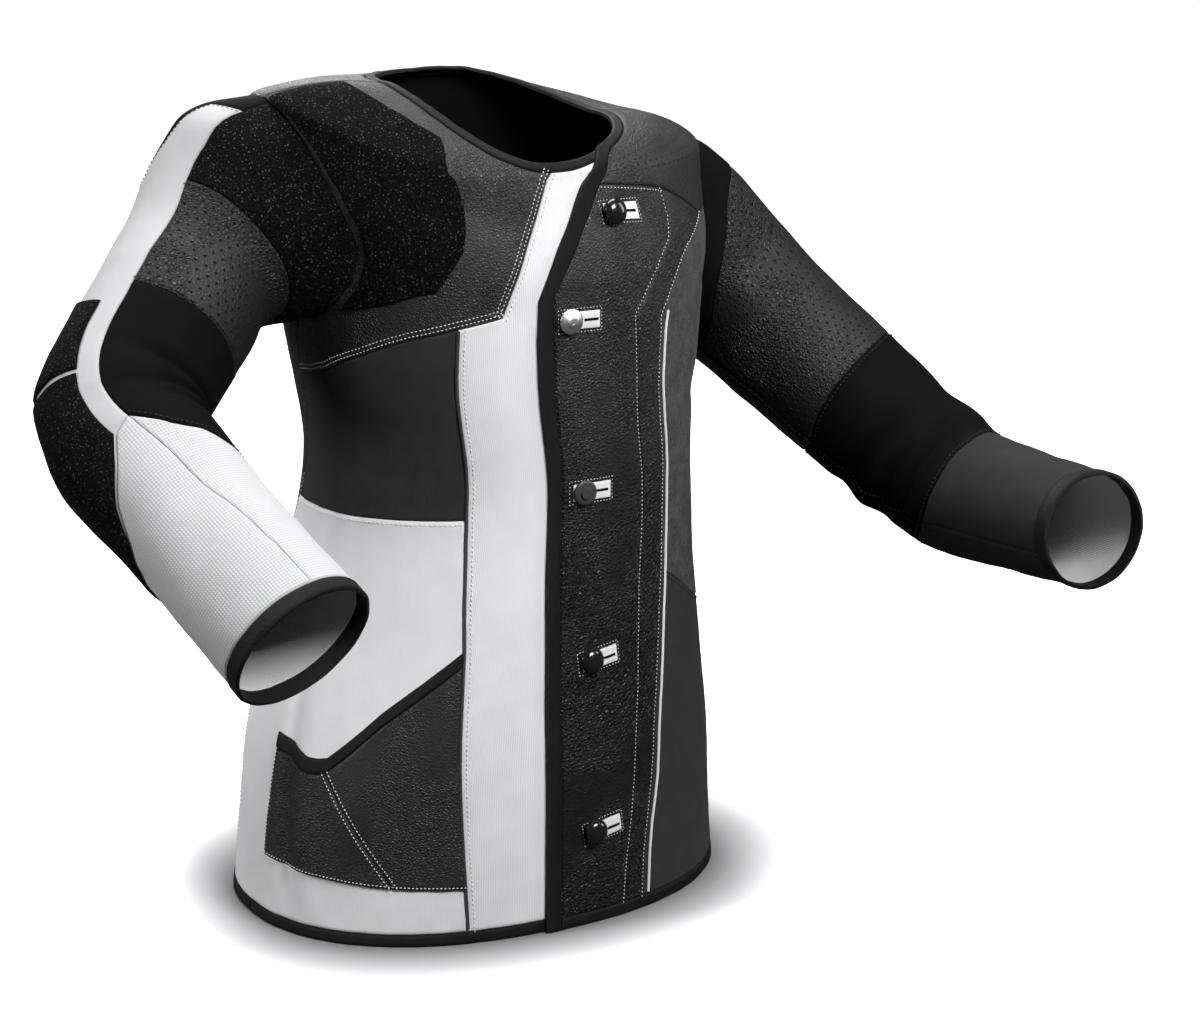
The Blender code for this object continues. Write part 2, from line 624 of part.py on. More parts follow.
# The back: a yoke and two panels that meet down the middle.
back_low_left = line([(1.600, HEM_BAND), (math.pi, HEM_BAND)], 8)
back_side_left = joined(between(LEFT_SIDE_SEAM, HEM_BAND, 0.645, 13), left_back_hole[:5])
middle = line([(math.pi, HEM_BAND), (math.pi, 0.775)], len(back_side_left))
back_top_left = line(YOKE_BACK_LOW[:2], 8)
wall("back_left", "leather", body, fill(back_low_left, back_top_left, back_side_left, middle))

round_right = right_back_hole + [2 * math.pi, 0]
back_low_right = line([(math.pi, HEM_BAND), (2 * math.pi - 1.571, HEM_BAND)], 8)
back_side_right = joined(between(RIGHT_BACK_SEAM, HEM_BAND, 0.6552, 12), round_right[:6])
back_top_right = line(YOKE_BACK_LOW[1:], 8)
wall("back_right", "leather", body, fill(back_low_right, back_top_right, middle, back_side_right))

yoke_back_left = joined(left_back_hole[4:], line([left_back_hole[-1], NECK_LEFT], 4))
yoke_back_right = joined(round_right[5:], line([round_right[-1], NECK_RIGHT + [2 * math.pi, 0]], 4))
yoke_back_low = joined(back_top_left, back_top_right)
neck_back = on_neck_seam(line([yoke_back_left[-1], yoke_back_right[-1]], len(yoke_back_low)))
wall("back_yoke", "leather", body, fill(yoke_back_low, neck_back, yoke_back_left, yoke_back_right))


# Bound edges round the neck and the hem.
def binding(name, surface, start, end, low, high, count, rows=2, **options):
    sides = [line([(a, low), (a, high)], rows) for a in (start, end)]
    ends = [line([(start, h), (end, h)], count) for h in (low, high)]
    wall(name, "binding", surface, fill(*ends, *sides), thick=BINDING, lift=BINDING_LIFT, **options)


round_neck = joined(neck_left, neck_back, neck_right + [2 * math.pi, 0], placket_top[:5] + [2 * math.pi, 0])
neck_rim = np.stack([round_neck[:, 0], np.full(len(round_neck), NECK_EDGE)], -1)
neck_rim[0] = inner_rows[-1]
neck_middle = (round_neck + neck_rim) / 2
neck_middle[0] = inner_rows[-2]
wall(
    "neck_binding", "binding", body_lap, np.stack([round_neck, neck_middle, neck_rim], 1),
    thick=BINDING, lift=BINDING_LIFT, gap=SEAM_GAP,
)
binding("hem_binding_right", body, -1.571, UNDERLAP[0][0], 0.0, HEM_BAND, 14, flat_hem=True)
binding("hem_binding_left", body_lap, -0.026, 1.600, 0.0, HEM_BAND, 13, flat_hem=True)
binding("hem_binding_back_left", body, 1.600, math.pi, 0.0, HEM_BAND, 12, flat_hem=True)
binding("hem_binding_back_right", body, math.pi, 2 * math.pi - 1.571, 0.0, HEM_BAND, 12, flat_hem=True)

# Seams along the right sleeve: the front one leans over below the elbow.
RIGHT_LEAN = [(0.0, 8), (0.50, 8), (0.615, 20), (0.657, 23), (0.733, 27), (0.780, 32), (0.844, 37), (1.0, 41)]
RIGHT_START = -108
CUFF_SEAM = 0.972


def right_places(columns, fractions):
    """Places on the right sleeve for columns and rows of fractions, turned to follow its front seam."""
    fractions = np.array(fractions, float)
    seam = np.interp(fractions, [f for f, _ in RIGHT_LEAN], [a for _, a in RIGHT_LEAN])
    base = np.array([RIGHT_COLUMNS[c % 20] + (360 if c == 20 else 0) for c in columns], float)[:, None]
    front = RIGHT_START + (seam - RIGHT_START) * (base - RIGHT_START) / (8 - RIGHT_START)
    behind = seam + (252 - seam) * (base - 8) / (252 - 8)
    angle = np.where(base <= 8, front, behind)
    return np.stack([np.radians(angle), 1 - fractions], -1)[:, ::-1]


def left_places(columns, fractions):
    fractions = np.array(fractions, float)
    angle = np.radians(np.array([LEFT_COLUMNS[c] for c in columns], float))[:, None] + 0 * fractions
    return np.stack([angle, fractions], -1)


def rows_between(edges, parts):
    """Rows for every column between edges, each edge a list with one fraction a column."""
    rows = []
    for k, count in enumerate(parts):
        t = np.linspace(0, 1, count + 1)[None, :]
        low = np.array(edges[k], float)[:, None]
        high = np.array(edges[k + 1], float)[:, None]
        rows.append((low * (1 - t) + high * t)[:, (0 if k == 0 else 1) :])
    return np.concatenate(rows, axis=1)


def seam_at(points, columns, names):
    """A seam across a sleeve, given as degrees and fractions, read off at columns."""
    angles = [a for a, _ in points]
    return np.interp([columns[c] for c in names], angles, [f for _, f in points])


# Rows across the right sleeve, as degrees and fractions. All its pieces share them, so that their edges agree.
RIGHT_ROWS = {
    "armhole": [(-108, 0.0), (252, 0.0)],
    "strip_top": [
        (-108, 0.125), (-45, 0.120), (-29, 0.110), (-17, 0.055), (8, 0.050), (200, 0.050), (252, 0.125),
    ],
    "head_end": [
        (-108, 0.160), (-8, 0.138), (8, 0.132), (46, 0.121), (83, 0.115), (121, 0.108),
        (200, 0.118), (252, 0.160),
    ],
    "leather_end": [(-108, 0.318), (-44, 0.337), (-10, 0.365), (8, 0.318), (252, 0.318)],
    "elbow": [(-108, 0.455), (-57, 0.462), (-16, 0.472), (8, 0.480), (252, 0.455)],
    "elbow_end": [
        (-108, 0.780), (-62, 0.727), (-49, 0.677), (-28, 0.637), (-8, 0.585), (8, 0.570),
        (21, 0.610), (34, 0.621), (50, 0.639), (62, 0.657), (79, 0.679), (110, 0.692),
        (200, 0.735), (252, 0.780),
    ],
    "cuff": [(-108, CUFF_SEAM), (252, CUFF_SEAM)],
}
ROW_PARTS = {"strip_top": 2, "head_end": 2, "leather_end": 3, "elbow": 2, "elbow_end": 4, "cuff": 5}
outer_columns = list(range(0, 8))
pad_columns = list(range(0, 7))
inner_columns = list(range(7, 21))
right_face = sleeve_face("right")
left_face = sleeve_face("left")


def right_piece(name, colour, columns, edges, shrink=0.0, **options):
    """A piece of the right sleeve between named rows. One that lies on another is shrunk at its ends."""
    values = [seam_at(RIGHT_ROWS[edge], RIGHT_COLUMNS, columns) for edge in edges]
    if columns[-1] == 20:
        for value, edge in zip(values, edges):
            value[-1] = RIGHT_ROWS[edge][-1][1]
    rows = rows_between(values, [ROW_PARTS[edge] for edge in edges[1:]])
    rows[:, 0] += shrink
    rows[:, -1] -= shrink
    wall(name, colour, right_face, right_places(columns, rows), **options)


right_piece("right_head_strip", "stretch", outer_columns, ["armhole", "strip_top"])
right_piece(
    "right_sleeve_white", "white_weave", outer_columns,
    ["strip_top", "head_end", "leather_end", "elbow", "elbow_end"],
)
right_piece("right_forearm_outer", "white_weave", outer_columns, ["elbow_end", "cuff"], gap=0.00022)
right_piece("right_head_grip", "grip", inner_columns, ["armhole", "strip_top", "head_end"])
right_piece("right_upper_leather", "perforated", inner_columns, ["head_end", "leather_end"])
right_piece("right_elbow_stretch", "stretch", inner_columns, ["leather_end", "elbow", "elbow_end"])
right_piece("right_forearm_inner", "white_weave", inner_columns, ["elbow_end", "cuff"])
right_piece(
    "right_elbow_pad_upper", "grip", pad_columns, ["leather_end", "elbow"],
    shrink=0.003, thick=PATCH, lift=LAY + PATCH, gap=0.0005,
)
right_piece(
    "right_elbow_pad_lower", "grip", pad_columns, ["elbow", "elbow_end"],
    shrink=0.003, thick=PATCH, lift=LAY + PATCH, gap=0.0005,
)

LEFT_HEAD_END = [(-36, 0.075), (18, 0.062), (54, 0.051), (108, 0.050), (180, 0.060), (324, 0.075)]
LEFT_LEATHER_END = [
    (-36, 0.320), (17, 0.323), (59, 0.331), (108, 0.337), (140, 0.347), (162, 0.365), (324, 0.320),
]
LEFT_ELBOW_END = [
    (-36, 0.620), (21, 0.635), (33, 0.643), (63, 0.690), (115, 0.693), (141, 0.675), (173, 0.629),
    (192, 0.603), (324, 0.620),
]
front_columns = list(range(0, 12))
behind_columns = list(range(11, 21))


def level(value, columns):
    return np.full(len(columns), value)


def left_piece(name, colour, columns, edges, parts):
    rows = rows_between(edges, parts)
    wall(name, colour, left_face, left_places(columns, rows))


for part, columns in (("front", front_columns), ("back", behind_columns)):
    head = level(0.0, columns)
    head_end = seam_at(LEFT_HEAD_END, LEFT_COLUMNS, columns)
    leather_end = seam_at(LEFT_LEATHER_END, LEFT_COLUMNS, columns)
    elbow_end = seam_at(LEFT_ELBOW_END, LEFT_COLUMNS, columns)
    left_piece("left_gusset_" + part, "stretch", columns, [head, head_end], [2])
    left_piece("left_upper_leather_" + part, "perforated", columns, [head_end, leather_end], [4])
    left_piece("left_elbow_stretch_" + part, "stretch", columns, [leather_end, elbow_end], [5])
    left_piece("left_forearm_" + part, "fabric", columns, [elbow_end, level(CUFF_SEAM, columns)], [4])


def cuff(name, surface, places, low, high):
    """A bound edge right round a cuff, with the sleeve's own columns."""
    grid = places(list(range(20)), np.tile([low, high], (20, 1)))
    wall(name, "binding", surface, grid, thick=BINDING, lift=BINDING_LIFT, closed=True)


cuff("right_cuff_binding", right_face, right_places, CUFF_SEAM + 0.001, 1.0)
cuff("left_cuff_binding", left_face, left_places, CUFF_SEAM + 0.001, 1.0)

# Buttons, each with its stitched patch and slot on the left front.
BUTTONS = [
    # name, angle, height, radius, tall, lean, kind
    ("button_top", 0.237, 0.870, 0.0098, 0.0070, 0.0, "dome"),
    ("button_second", -0.004, 0.717, 0.0095, 0.0042, 0.0, "cone"),
    ("button_middle", 0.021, 0.513, 0.0095, 0.0040, 0.0, "cone"),
    ("button_fourth", 0.073, 0.313, 0.0098, 0.0070, 8.0, "dome"),
    ("button_low", 0.090, 0.110, 0.0098, 0.0070, 8.0, "dome"),
]
PROFILES = {
    "dome": [(1.0, 0.0), (1.0, 0.30), (0.86, 0.66), (0.55, 0.91), (0.22, 1.0)],
    "cone": [(1.0, 0.0), (1.0, 0.35), (0.42, 0.72), (0.40, 1.0), (0.20, 1.0)],
}
BUTTON_SIDES = 14
TAB_TALL = 0.0012
for name, angle, height, radius, tall, lean, kind in BUTTONS:
    tab = outline_block(body_lap, (angle + 0.045, height), math.radians(lean), 0.0155, 0.0065, (4, 2))
    wall(name + "_patch", "white_trim", body_lap, tab, thick=TAB_TALL, lift=LAY + TAB_TALL, gap=0.0001)
    at = np.array([angle]), np.array([height])
    centre = body_lap(*at)[0]
    out = normals(body_lap, *at)[0]
    side = unit(np.cross(out, (0, 0, 1)))
    up = np.cross(side, out)
    base = centre + out * (LAY + TAB_TALL + 0.0006)
    turns = np.arange(BUTTON_SIDES) * 2 * math.pi / BUTTON_SIDES
    rings = [
        base + out * tall * z + radius * r * (side * np.cos(turns)[:, None] + up * np.sin(turns)[:, None])
        for r, z in PROFILES[kind]
    ]
    points = np.concatenate(rings)
    faces = [list(range(BUTTON_SIDES))]
    for ring in range(len(rings) - 1):
        for k in range(BUTTON_SIDES):
            q = (k + 1) % BUTTON_SIDES
            low = ring * BUTTON_SIDES
            high = low + BUTTON_SIDES
            faces.append((low + q, low + k, high + k, high + q))
    last = (len(rings) - 1) * BUTTON_SIDES
    faces.append([last + k for k in reversed(range(BUTTON_SIDES))])
    colour = "metal" if name == "button_second" else "black_gloss"
    add(name, points, faces, colour)

# Stand the jacket on the floor with the middle of its box over the origin.
corners = np.concatenate(
    [np.array([tuple(v.co) for v in item.data.vertices]) for item in bpy.data.objects if item.type == "MESH"]
)
low = corners.min(0)
high = corners.max(0)
shift = np.array([-(low[0] + high[0]) / 2, -(low[1] + high[1]) / 2, 0.0])
for item in bpy.data.objects:
    for vertex in item.data.vertices:
        vertex.co = np.array(vertex.co) + shift
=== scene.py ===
"""The shooting jacket as it is photographed.

Its panels are made fine over the frame, with stitching, grain, light and floor.
"""

import math

import bpy
import numpy as np
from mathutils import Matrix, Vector


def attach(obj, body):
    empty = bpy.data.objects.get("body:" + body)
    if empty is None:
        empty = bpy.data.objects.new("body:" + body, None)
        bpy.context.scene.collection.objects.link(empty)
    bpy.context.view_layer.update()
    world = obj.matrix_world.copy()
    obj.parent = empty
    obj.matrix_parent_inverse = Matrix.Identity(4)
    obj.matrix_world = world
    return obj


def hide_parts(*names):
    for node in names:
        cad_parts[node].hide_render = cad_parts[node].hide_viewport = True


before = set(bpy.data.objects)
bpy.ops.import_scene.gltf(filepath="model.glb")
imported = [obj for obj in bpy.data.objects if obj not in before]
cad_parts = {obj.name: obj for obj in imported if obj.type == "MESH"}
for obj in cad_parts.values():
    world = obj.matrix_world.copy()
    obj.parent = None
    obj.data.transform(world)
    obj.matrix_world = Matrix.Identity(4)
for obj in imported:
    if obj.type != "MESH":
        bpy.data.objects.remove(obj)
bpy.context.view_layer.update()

SHIFT = np.array([-0.00464864, 0.10809570, 0.0])  # puts the middle of the garment's box over the origin
CELL = 0.0036  # longest side of a cell on a panel's face
EDGE_ROUND = 0.0019  # how far from its edge a panel starts to turn down into the seam
EDGE_DROP = 0.0009  # how far it turns down
BINDING_DROP = 0.0015  # how far a binding turns down
ROWS_AT_EDGE = (0.18, 0.5)  # the two close rows at a piece's edge, as parts of its first cell
PUCKER = 0.00022  # height of the small waves that sewing draws in a panel's edge
PUCKER_LONG = 0.016  # their length
PUCKER_REACH = 0.009  # how far from the edge they die away

# The garment's sizes, in metres.
WALL = 0.0025  # thickness of a panel
SEAM_GAP = 0.00034  # space left between neighbouring pieces
BINDING = 0.0032  # thickness of a bound edge
BINDING_LIFT = 0.0008  # how far a binding stands proud of its panel
LAP_LIFT = 0.0036  # how far the left front lies above the right front
LAY = 0.0007  # space between a piece and the panel that it lies on
PATCH = 0.0016  # thickness of a piece that lies on a panel
HEM_BAND = 0.0145  # height of the hem binding, as a fraction of the body
NECK_EDGE = 0.9935  # height of the neck's rim, as a fraction of the body
NECK_BAND = 0.0095  # width of the neck binding
LAP_SEAM = 0.977  # height at which the left front's edge meets the neck binding
UNDERLAP = [(0.27, 0.0), (0.27, 0.860), (0.66, 0.967)]  # edge of the right front, under the left
SIDE = math.pi / 2
BODY_SCALE = (0.17, 0.65)  # weights of a step round the body and up it, for places evenly along a line

# Rings of the body.
BODY_RINGS = [
    # height, half_width, half_depth, centre_x, centre_y, z_front, z_back, z_left, z_right, fullness
    (0.00, 0.196, 0.150, 0.000, 0.000, 0.000, 0.000, 0.000, 0.000, 2.20),
    (0.18, 0.187, 0.143, 0.004, 0.000, 0.120, 0.120, 0.120, 0.120, 2.20),
    (0.36, 0.166, 0.130, 0.015, 0.000, 0.235, 0.240, 0.232, 0.245, 2.20),
    (0.52, 0.153, 0.121, 0.025, 0.000, 0.337, 0.342, 0.328, 0.358, 2.20),
    (0.64, 0.163, 0.121, 0.020, 0.000, 0.415, 0.425, 0.402, 0.452, 2.20),
    (0.76, 0.171, 0.121, 0.019, 0.000, 0.487, 0.502, 0.464, 0.522, 2.15),
    (0.86, 0.181, 0.114, 0.015, 0.000, 0.534, 0.560, 0.512, 0.578, 2.10),
    (0.93, 0.181, 0.104, 0.011, -0.004, 0.562, 0.598, 0.568, 0.624, 2.05),
    (0.97, 0.128, 0.098, 0.016, -0.008, 0.5695, 0.620, 0.595, 0.634, 2.00),
    (1.00, 0.076, 0.086, 0.019, -0.012, 0.577, 0.630, 0.598, 0.628, 2.00),
]

# Armholes: the middle's angle on the body, the reach to the front and back, and the lowest and highest point.
ARMHOLES = {
    "right": {"angle": -SIDE, "front": 0.60, "back": 0.55, "low": 0.655, "top": 0.935},
    "left": {"angle": 1.60, "front": 0.50, "back": 0.55, "low": 0.645, "top": 0.935},
}

# Sleeves: the corners of the line through each, the bend's radius, the head's length and fullness, and the
# turn of its rings.
SLEEVES = {
    "right": {
        "shoulder": (-0.1760, 0.0210, 0.5480),
        "elbow": (-0.3195, -0.0802, 0.4180),
        "wrist": (-0.2629, -0.2698, 0.3000),
        "bend": 0.075,
        "head": 0.085,
        "fullness": 1.9,
        "turn": math.radians(70),
    },
    "left": {
        "shoulder": (0.2151, 0.0016, 0.4655),
        "elbow": (0.3316, -0.1765, 0.3070),
        "wrist": (0.3184, -0.3627, 0.3200),
        "bend": 0.080,
        "head": 0.085,
        "fullness": 0.5,
        "turn": math.radians(90),
    },
}
SLEEVE_RINGS = {
    "right": [
        # fraction, half_out, half_across
        (0.00, 0.0600, 0.0660),
        (0.30, 0.0590, 0.0620),
        (0.55, 0.0560, 0.0560),
        (0.75, 0.0520, 0.0500),
        (1.00, 0.0530, 0.0510),
    ],
    "left": [
        (0.00, 0.0535, 0.0620),
        (0.30, 0.0520, 0.0580),
        (0.55, 0.0530, 0.0530),
        (0.75, 0.0480, 0.0470),
        (1.00, 0.0425, 0.0435),
    ],
}


def column(rows, index, at):
    """A smooth line through one column of a table, with no overshoot between its rows."""
    x = np.array([row[0] for row in rows])
    y = np.array([row[index] for row in rows])
    step = np.diff(x)
    rise = np.diff(y) / step
    slope = np.zeros(len(x))
    slope[0] = rise[0]
    slope[-1] = rise[-1]
    for i in range(1, len(x) - 1):
        if rise[i - 1] * rise[i] > 0:
            near = 2 * step[i] + step[i - 1]
            far = step[i] + 2 * step[i - 1]
            slope[i] = (near + far) / (near / rise[i - 1] + far / rise[i])
    i = np.clip(np.searchsorted(x, at, side="right") - 1, 0, len(x) - 2)
    t = (at - x[i]) / step[i]
    return (
        (1 + 2 * t) * (1 - t) ** 2 * y[i]
        + t * (1 - t) ** 2 * step[i] * slope[i]
        + t * t * (3 - 2 * t) * y[i + 1]
        - t * t * (1 - t) * step[i] * slope[i + 1]
    )


def unit(a):
    return a / np.linalg.norm(a, axis=-1, keepdims=True)


def power(c, fullness):
    return np.sign(c) * np.abs(c) ** (2.0 / fullness)


def body(angle, height):
    """Points on the body's outer face."""
    angle, height = np.broadcast_arrays(np.asarray(angle, float), np.asarray(height, float))
    values = [column(BODY_RINGS, k, height) for k in range(1, 10)]
    half_width, half_depth, cx, cy, front, back, left, right, fullness = values
    s = np.sin(angle)
    c = np.cos(angle)
    x = cx + half_width * power(s, fullness)
    y = cy - half_depth * power(c, fullness)
    z = front * np.maximum(c, 0) ** 2 + back * np.maximum(-c, 0) ** 2
    z = z + left * np.maximum(s, 0) ** 2 + right * np.maximum(-s, 0) ** 2
    return np.stack([x, y, z], -1)


def armhole_at(side, phi):
    """Angle and height on the body, for phi 0 at the shoulder, a quarter turn at the front, a half below."""
    hole = ARMHOLES[side]
    s = np.sin(phi)
    reach = np.where(s > 0, hole["front"], hole["back"])
    way = 1 if side == "right" else -1
    middle = (hole["low"] + hole["top"]) / 2
    half = (hole["top"] - hole["low"]) / 2
    return hole["angle"] + way * reach * s, middle + half * np.cos(phi)


def centreline(side, fraction):
    """Points, directions, inward normals and the bend's axis on a line, an arc and a line."""
    cut = SLEEVES[side]
    shoulder, elbow, wrist = (np.array(cut[name]) for name in ("shoulder", "elbow", "wrist"))
    upper = unit(elbow - shoulder)
    lower = unit(wrist - elbow)
    turn = math.acos(float(upper @ lower))
    radius = cut["bend"]
    back = radius * math.tan(turn / 2)
    first = np.linalg.norm(elbow - shoulder) - back
    total = first + radius * turn + np.linalg.norm(wrist - elbow) - back
    along = np.asarray(fraction, float) * total
    inward = unit(lower - (lower @ upper) * upper)
    axis = np.cross(upper, inward)
    a = np.clip((along - first) / radius, 0, turn)[..., None]
    before = np.minimum(along, first)[..., None]
    after = np.maximum(along - first - radius * turn, 0)[..., None]
    direction = upper * np.cos(a) + inward * np.sin(a)
    normal = inward * np.cos(a) - upper * np.sin(a)
    point = shoulder + upper * before + radius * (upper * np.sin(a) + inward * (1 - np.cos(a)))
    return point + direction * after, direction, normal, axis, total


def sleeve_ring(side, fraction, phi):
    point, direction, normal, axis, total = centreline(side, fraction)
    out = column(SLEEVE_RINGS[side], 1, fraction)
    across = column(SLEEVE_RINGS[side], 2, fraction)
    turned = phi + SLEEVES[side]["turn"]
    way = 1 if side == "right" else -1
    point = point - normal * (out * np.cos(turned))[..., None]
    return point + axis * (way * across * np.sin(turned))[..., None], direction, total


def armhole_way(side):
    """The direction straight out of an armhole."""
    quarter = body(*armhole_at(side, np.array([0.0, 0.5, 1.0, 1.5]) * math.pi))
    out = unit(np.cross(quarter[0] - quarter[2], quarter[1] - quarter[3]))
    return out if (out[0] > 0) == (side == "left") else -out


def sleeve(side, fraction, phi):
    """Points on a sleeve's outer face, from the armhole at fraction 0 to the cuff at 1."""
    fraction, phi = np.broadcast_arrays(np.asarray(fraction, float), np.asarray(phi, float))
    tube, _, total = sleeve_ring(side, fraction, phi)
    head = SLEEVES[side]["head"] / total
    ring, along, _ = sleeve_ring(side, np.full_like(fraction, head), phi)
    out = armhole_way(side)
    full = SLEEVES[side]["fullness"]
    rim = body(*armhole_at(side, phi)) + out * SEAM_GAP
    reach = np.linalg.norm(ring - rim, axis=-1, keepdims=True)
    t = np.clip(fraction / head, 0, 1)[..., None]
    point = (2 * t**3 - 3 * t**2 + 1) * rim + (t**3 - 2 * t**2 + t) * out * reach * full
    point = point + (3 * t**2 - 2 * t**3) * ring + (t**3 - t**2) * along * reach
    return np.where((fraction < head)[..., None], point, tube)


def normals(surface, a, b, small=1e-3):
    """Outward normals of a surface, from its slopes in both of its numbers."""
    across = surface(a + small, b) - surface(a - small, b)
    along = surface(a, b + small) - surface(a, b - small)
    return unit(np.cross(across, along))


def body_lap(angle, height):
    """The body's face with the left front lifted over the right front, which dies away towards the side."""
    ease = np.clip((1.25 - angle) / 0.75, 0, 1)
    lift = LAP_LIFT * ease * ease * (3 - 2 * ease)
    return body(angle, height) + normals(body, angle, height) * lift[..., None]


def neck_seam(angle):
    """Height of the seam under the neck binding, which is equally wide all round."""
    angle = np.atleast_1d(np.array(angle, float))[:, None]
    heights = np.linspace(NECK_EDGE, 0.94, 40)
    face = body(angle + 0 * heights, heights + 0 * angle)
    steps = np.linalg.norm(np.diff(face, axis=1), axis=-1)
    along = np.concatenate([0 * angle, np.cumsum(steps, axis=1)], axis=1)
    return np.array([np.interp(NECK_BAND, row, heights) for row in along])


def on_neck_seam(places):
    """Places moved up or down onto the neck seam."""
    places = np.array(places, float)
    return np.stack([places[:, 0], neck_seam(places[:, 0])], -1)


def sleeve_face(side):
    """The sleeve as a surface whose normals face out."""
    if side == "right":
        return lambda phi, fraction: sleeve(side, 1 - fraction, phi)
    return lambda phi, fraction: sleeve(side, fraction, phi)


def line(points, count, scale=BODY_SCALE):
    """A bent line through points, as count places evenly along it."""
    points = np.array(points, float)
    steps = np.linalg.norm(np.diff(points, axis=0) * scale, axis=1)
    along = np.concatenate([[0], np.cumsum(steps)])
    at = np.linspace(0, along[-1], count)
    return np.stack([np.interp(at, along, points[:, k]) for k in (0, 1)], -1)


def joined(*lines):
    """Lines end to end, with each shared place kept once."""
    return np.concatenate([lines[0]] + [part[1:] for part in lines[1:]])


def fill(bottom, top, left, right):
    """A grid between four sides of a patch, each side a list of places on the surface."""
    s = np.linspace(0, 1, len(bottom))[:, None, None]
    t = np.linspace(0, 1, len(left))[None, :, None]
    ruled = (1 - t) * bottom[:, None] + t * top[:, None] + (1 - s) * left[None] + s * right[None]
    corners = (1 - s) * (1 - t) * bottom[0] + s * (1 - t) * bottom[-1]
    corners = corners + (1 - s) * t * top[0] + s * t * top[-1]
    return ruled - corners


def drawn_in(surface, grid, gap=SEAM_GAP / 2):
    """The same grid with its outer rows moved in by half of the seam gap."""
    grid = grid.copy()
    for axis in (0, 1):
        g = np.moveaxis(grid, axis, 0)
        p = surface(g[..., 0], g[..., 1])
        for edge, inner in ((0, 1), (-1, -2)):
            length = np.linalg.norm(p[inner] - p[edge], axis=-1)[:, None]
            along = p[inner] - p[edge]
            run = p[edge, 1:] - p[edge, :-1]
            run = unit(np.concatenate([run[:1], (run[1:] + run[:-1]) / 2, run[-1:]]))
            square = along - (along * run).sum(-1, keepdims=True) * run
            lean = np.maximum(np.linalg.norm(square, axis=-1)[:, None] / length, 0.35)
            g[edge] = g[edge] + (g[inner] - g[edge]) * gap / (length * lean)
    return grid


right_face = sleeve_face("right")
left_face = sleeve_face("left")
PIECES = []


# Materials. Wire lets a shader's maths be written as plain expressions.
class Wire:
    """One output socket of a shader, in metres where it is a length."""

    def __init__(self, tree, socket):
        self.tree = tree
        self.socket = socket

    def math(self, operation, *values):
        node = self.tree.nodes.new("ShaderNodeMath")
        node.operation = operation
        for slot, value in zip(node.inputs, values):
            put(self.tree, slot, value)
        return Wire(self.tree, node.outputs[0])

    def whole(self):
        return self.math("FLOOR", self)

    def part(self):
        return self.math("FRACT", self)

    def wave(self):
        return self.math("SINE", self)

    def size(self):
        return self.math("ABSOLUTE", self)

    def least(self, other):
        return self.math("MINIMUM", self, other)


def give_operator(name, operation):
    """Gives Wire an operator of Python and its reflected form."""
    setattr(Wire, f"__{name}__", lambda self, other: self.math(operation, self, other))
    setattr(Wire, f"__r{name}__", lambda self, other: self.math(operation, other, self))


give_operator("add", "ADD")
give_operator("sub", "SUBTRACT")
give_operator("mul", "MULTIPLY")
give_operator("truediv", "DIVIDE")
give_operator("pow", "POWER")


def put(tree, slot, value):
    if isinstance(value, Wire):
        tree.links.new(value.socket, slot)
    else:
        slot.default_value = value


class Look:
    """A material under construction."""

    def __init__(self, name):
        self.made = bpy.data.materials.new(name)
        self.made.use_nodes = True
        self.tree = self.made.node_tree
        self.shader = self.tree.nodes["Principled BSDF"]
        self.place = self.node("ShaderNodeUVMap", {}, settings={"uv_map": "Cloth"})
        apart = self.node("ShaderNodeSeparateXYZ", {"Vector": self.place})
        self.u = apart
        self.v = Wire(self.tree, apart.socket.node.outputs["Y"])
        self.solid = self.node("ShaderNodeTexCoord", {}, "Object")
        self.edge = self.node("ShaderNodeAttribute", {}, "Fac", settings={"attribute_name": "edge"})

    def node(self, kind, inputs, output=0, settings=None):
        made = self.tree.nodes.new(kind)
        for name, value in (settings or {}).items():
            setattr(made, name, value)
        for name, value in inputs.items():
            put(self.tree, made.inputs[name], value)
        return Wire(self.tree, made.outputs[output])

    def noise(self, scale, detail=2.0, rough=0.5, at=None, output="Fac"):
        inputs = {"Vector": at or self.solid, "Scale": scale, "Detail": detail, "Roughness": rough}
        return self.node("ShaderNodeTexNoise", inputs, output)

    def cells(self, scale, feature="F1", random=1.0, at=None, output="Distance"):
        inputs = {"Vector": at or self.solid, "Scale": scale, "Randomness": random}
        return self.node("ShaderNodeTexVoronoi", inputs, output, settings={"feature": feature})

    def ramp(self, value, low, high, start=0.0, end=1.0):
        inputs = {"Value": value, "From Min": low, "From Max": high, "To Min": start, "To Max": end}
        settings = {"interpolation_type": "SMOOTHSTEP"}
        return self.node("ShaderNodeMapRange", inputs, "Result", settings=settings)

    def grey(self, tone):
        """A grey from a number, a little cooler where it is dark."""
        inputs = {"Red": tone, "Green": tone, "Blue": tone * 1.02}
        return self.node("ShaderNodeCombineColor", inputs)

    def done(self, tone, roughness, height=None, deep=0.0, coat=0.0, metallic=0.0, sheen=0.0, specular=0.5):
        put(self.tree, self.shader.inputs["Base Color"], self.grey(tone))
        put(self.tree, self.shader.inputs["Roughness"], roughness)
        self.shader.inputs["Metallic"].default_value = metallic
        self.shader.inputs["Coat Weight"].default_value = coat
        self.shader.inputs["Sheen Weight"].default_value = sheen
        self.shader.inputs["Specular IOR Level"].default_value = specular
        if height is not None:
            inputs = {"Height": height, "Distance": deep, "Strength": 1.0}
            put(self.tree, self.shader.inputs["Normal"], self.node("ShaderNodeBump", inputs))
        return self.made


HOLES_UP = 0.0060  # from row to row of the holes in leather
HOLES_ACROSS = 0.0072  # from hole to hole in a row


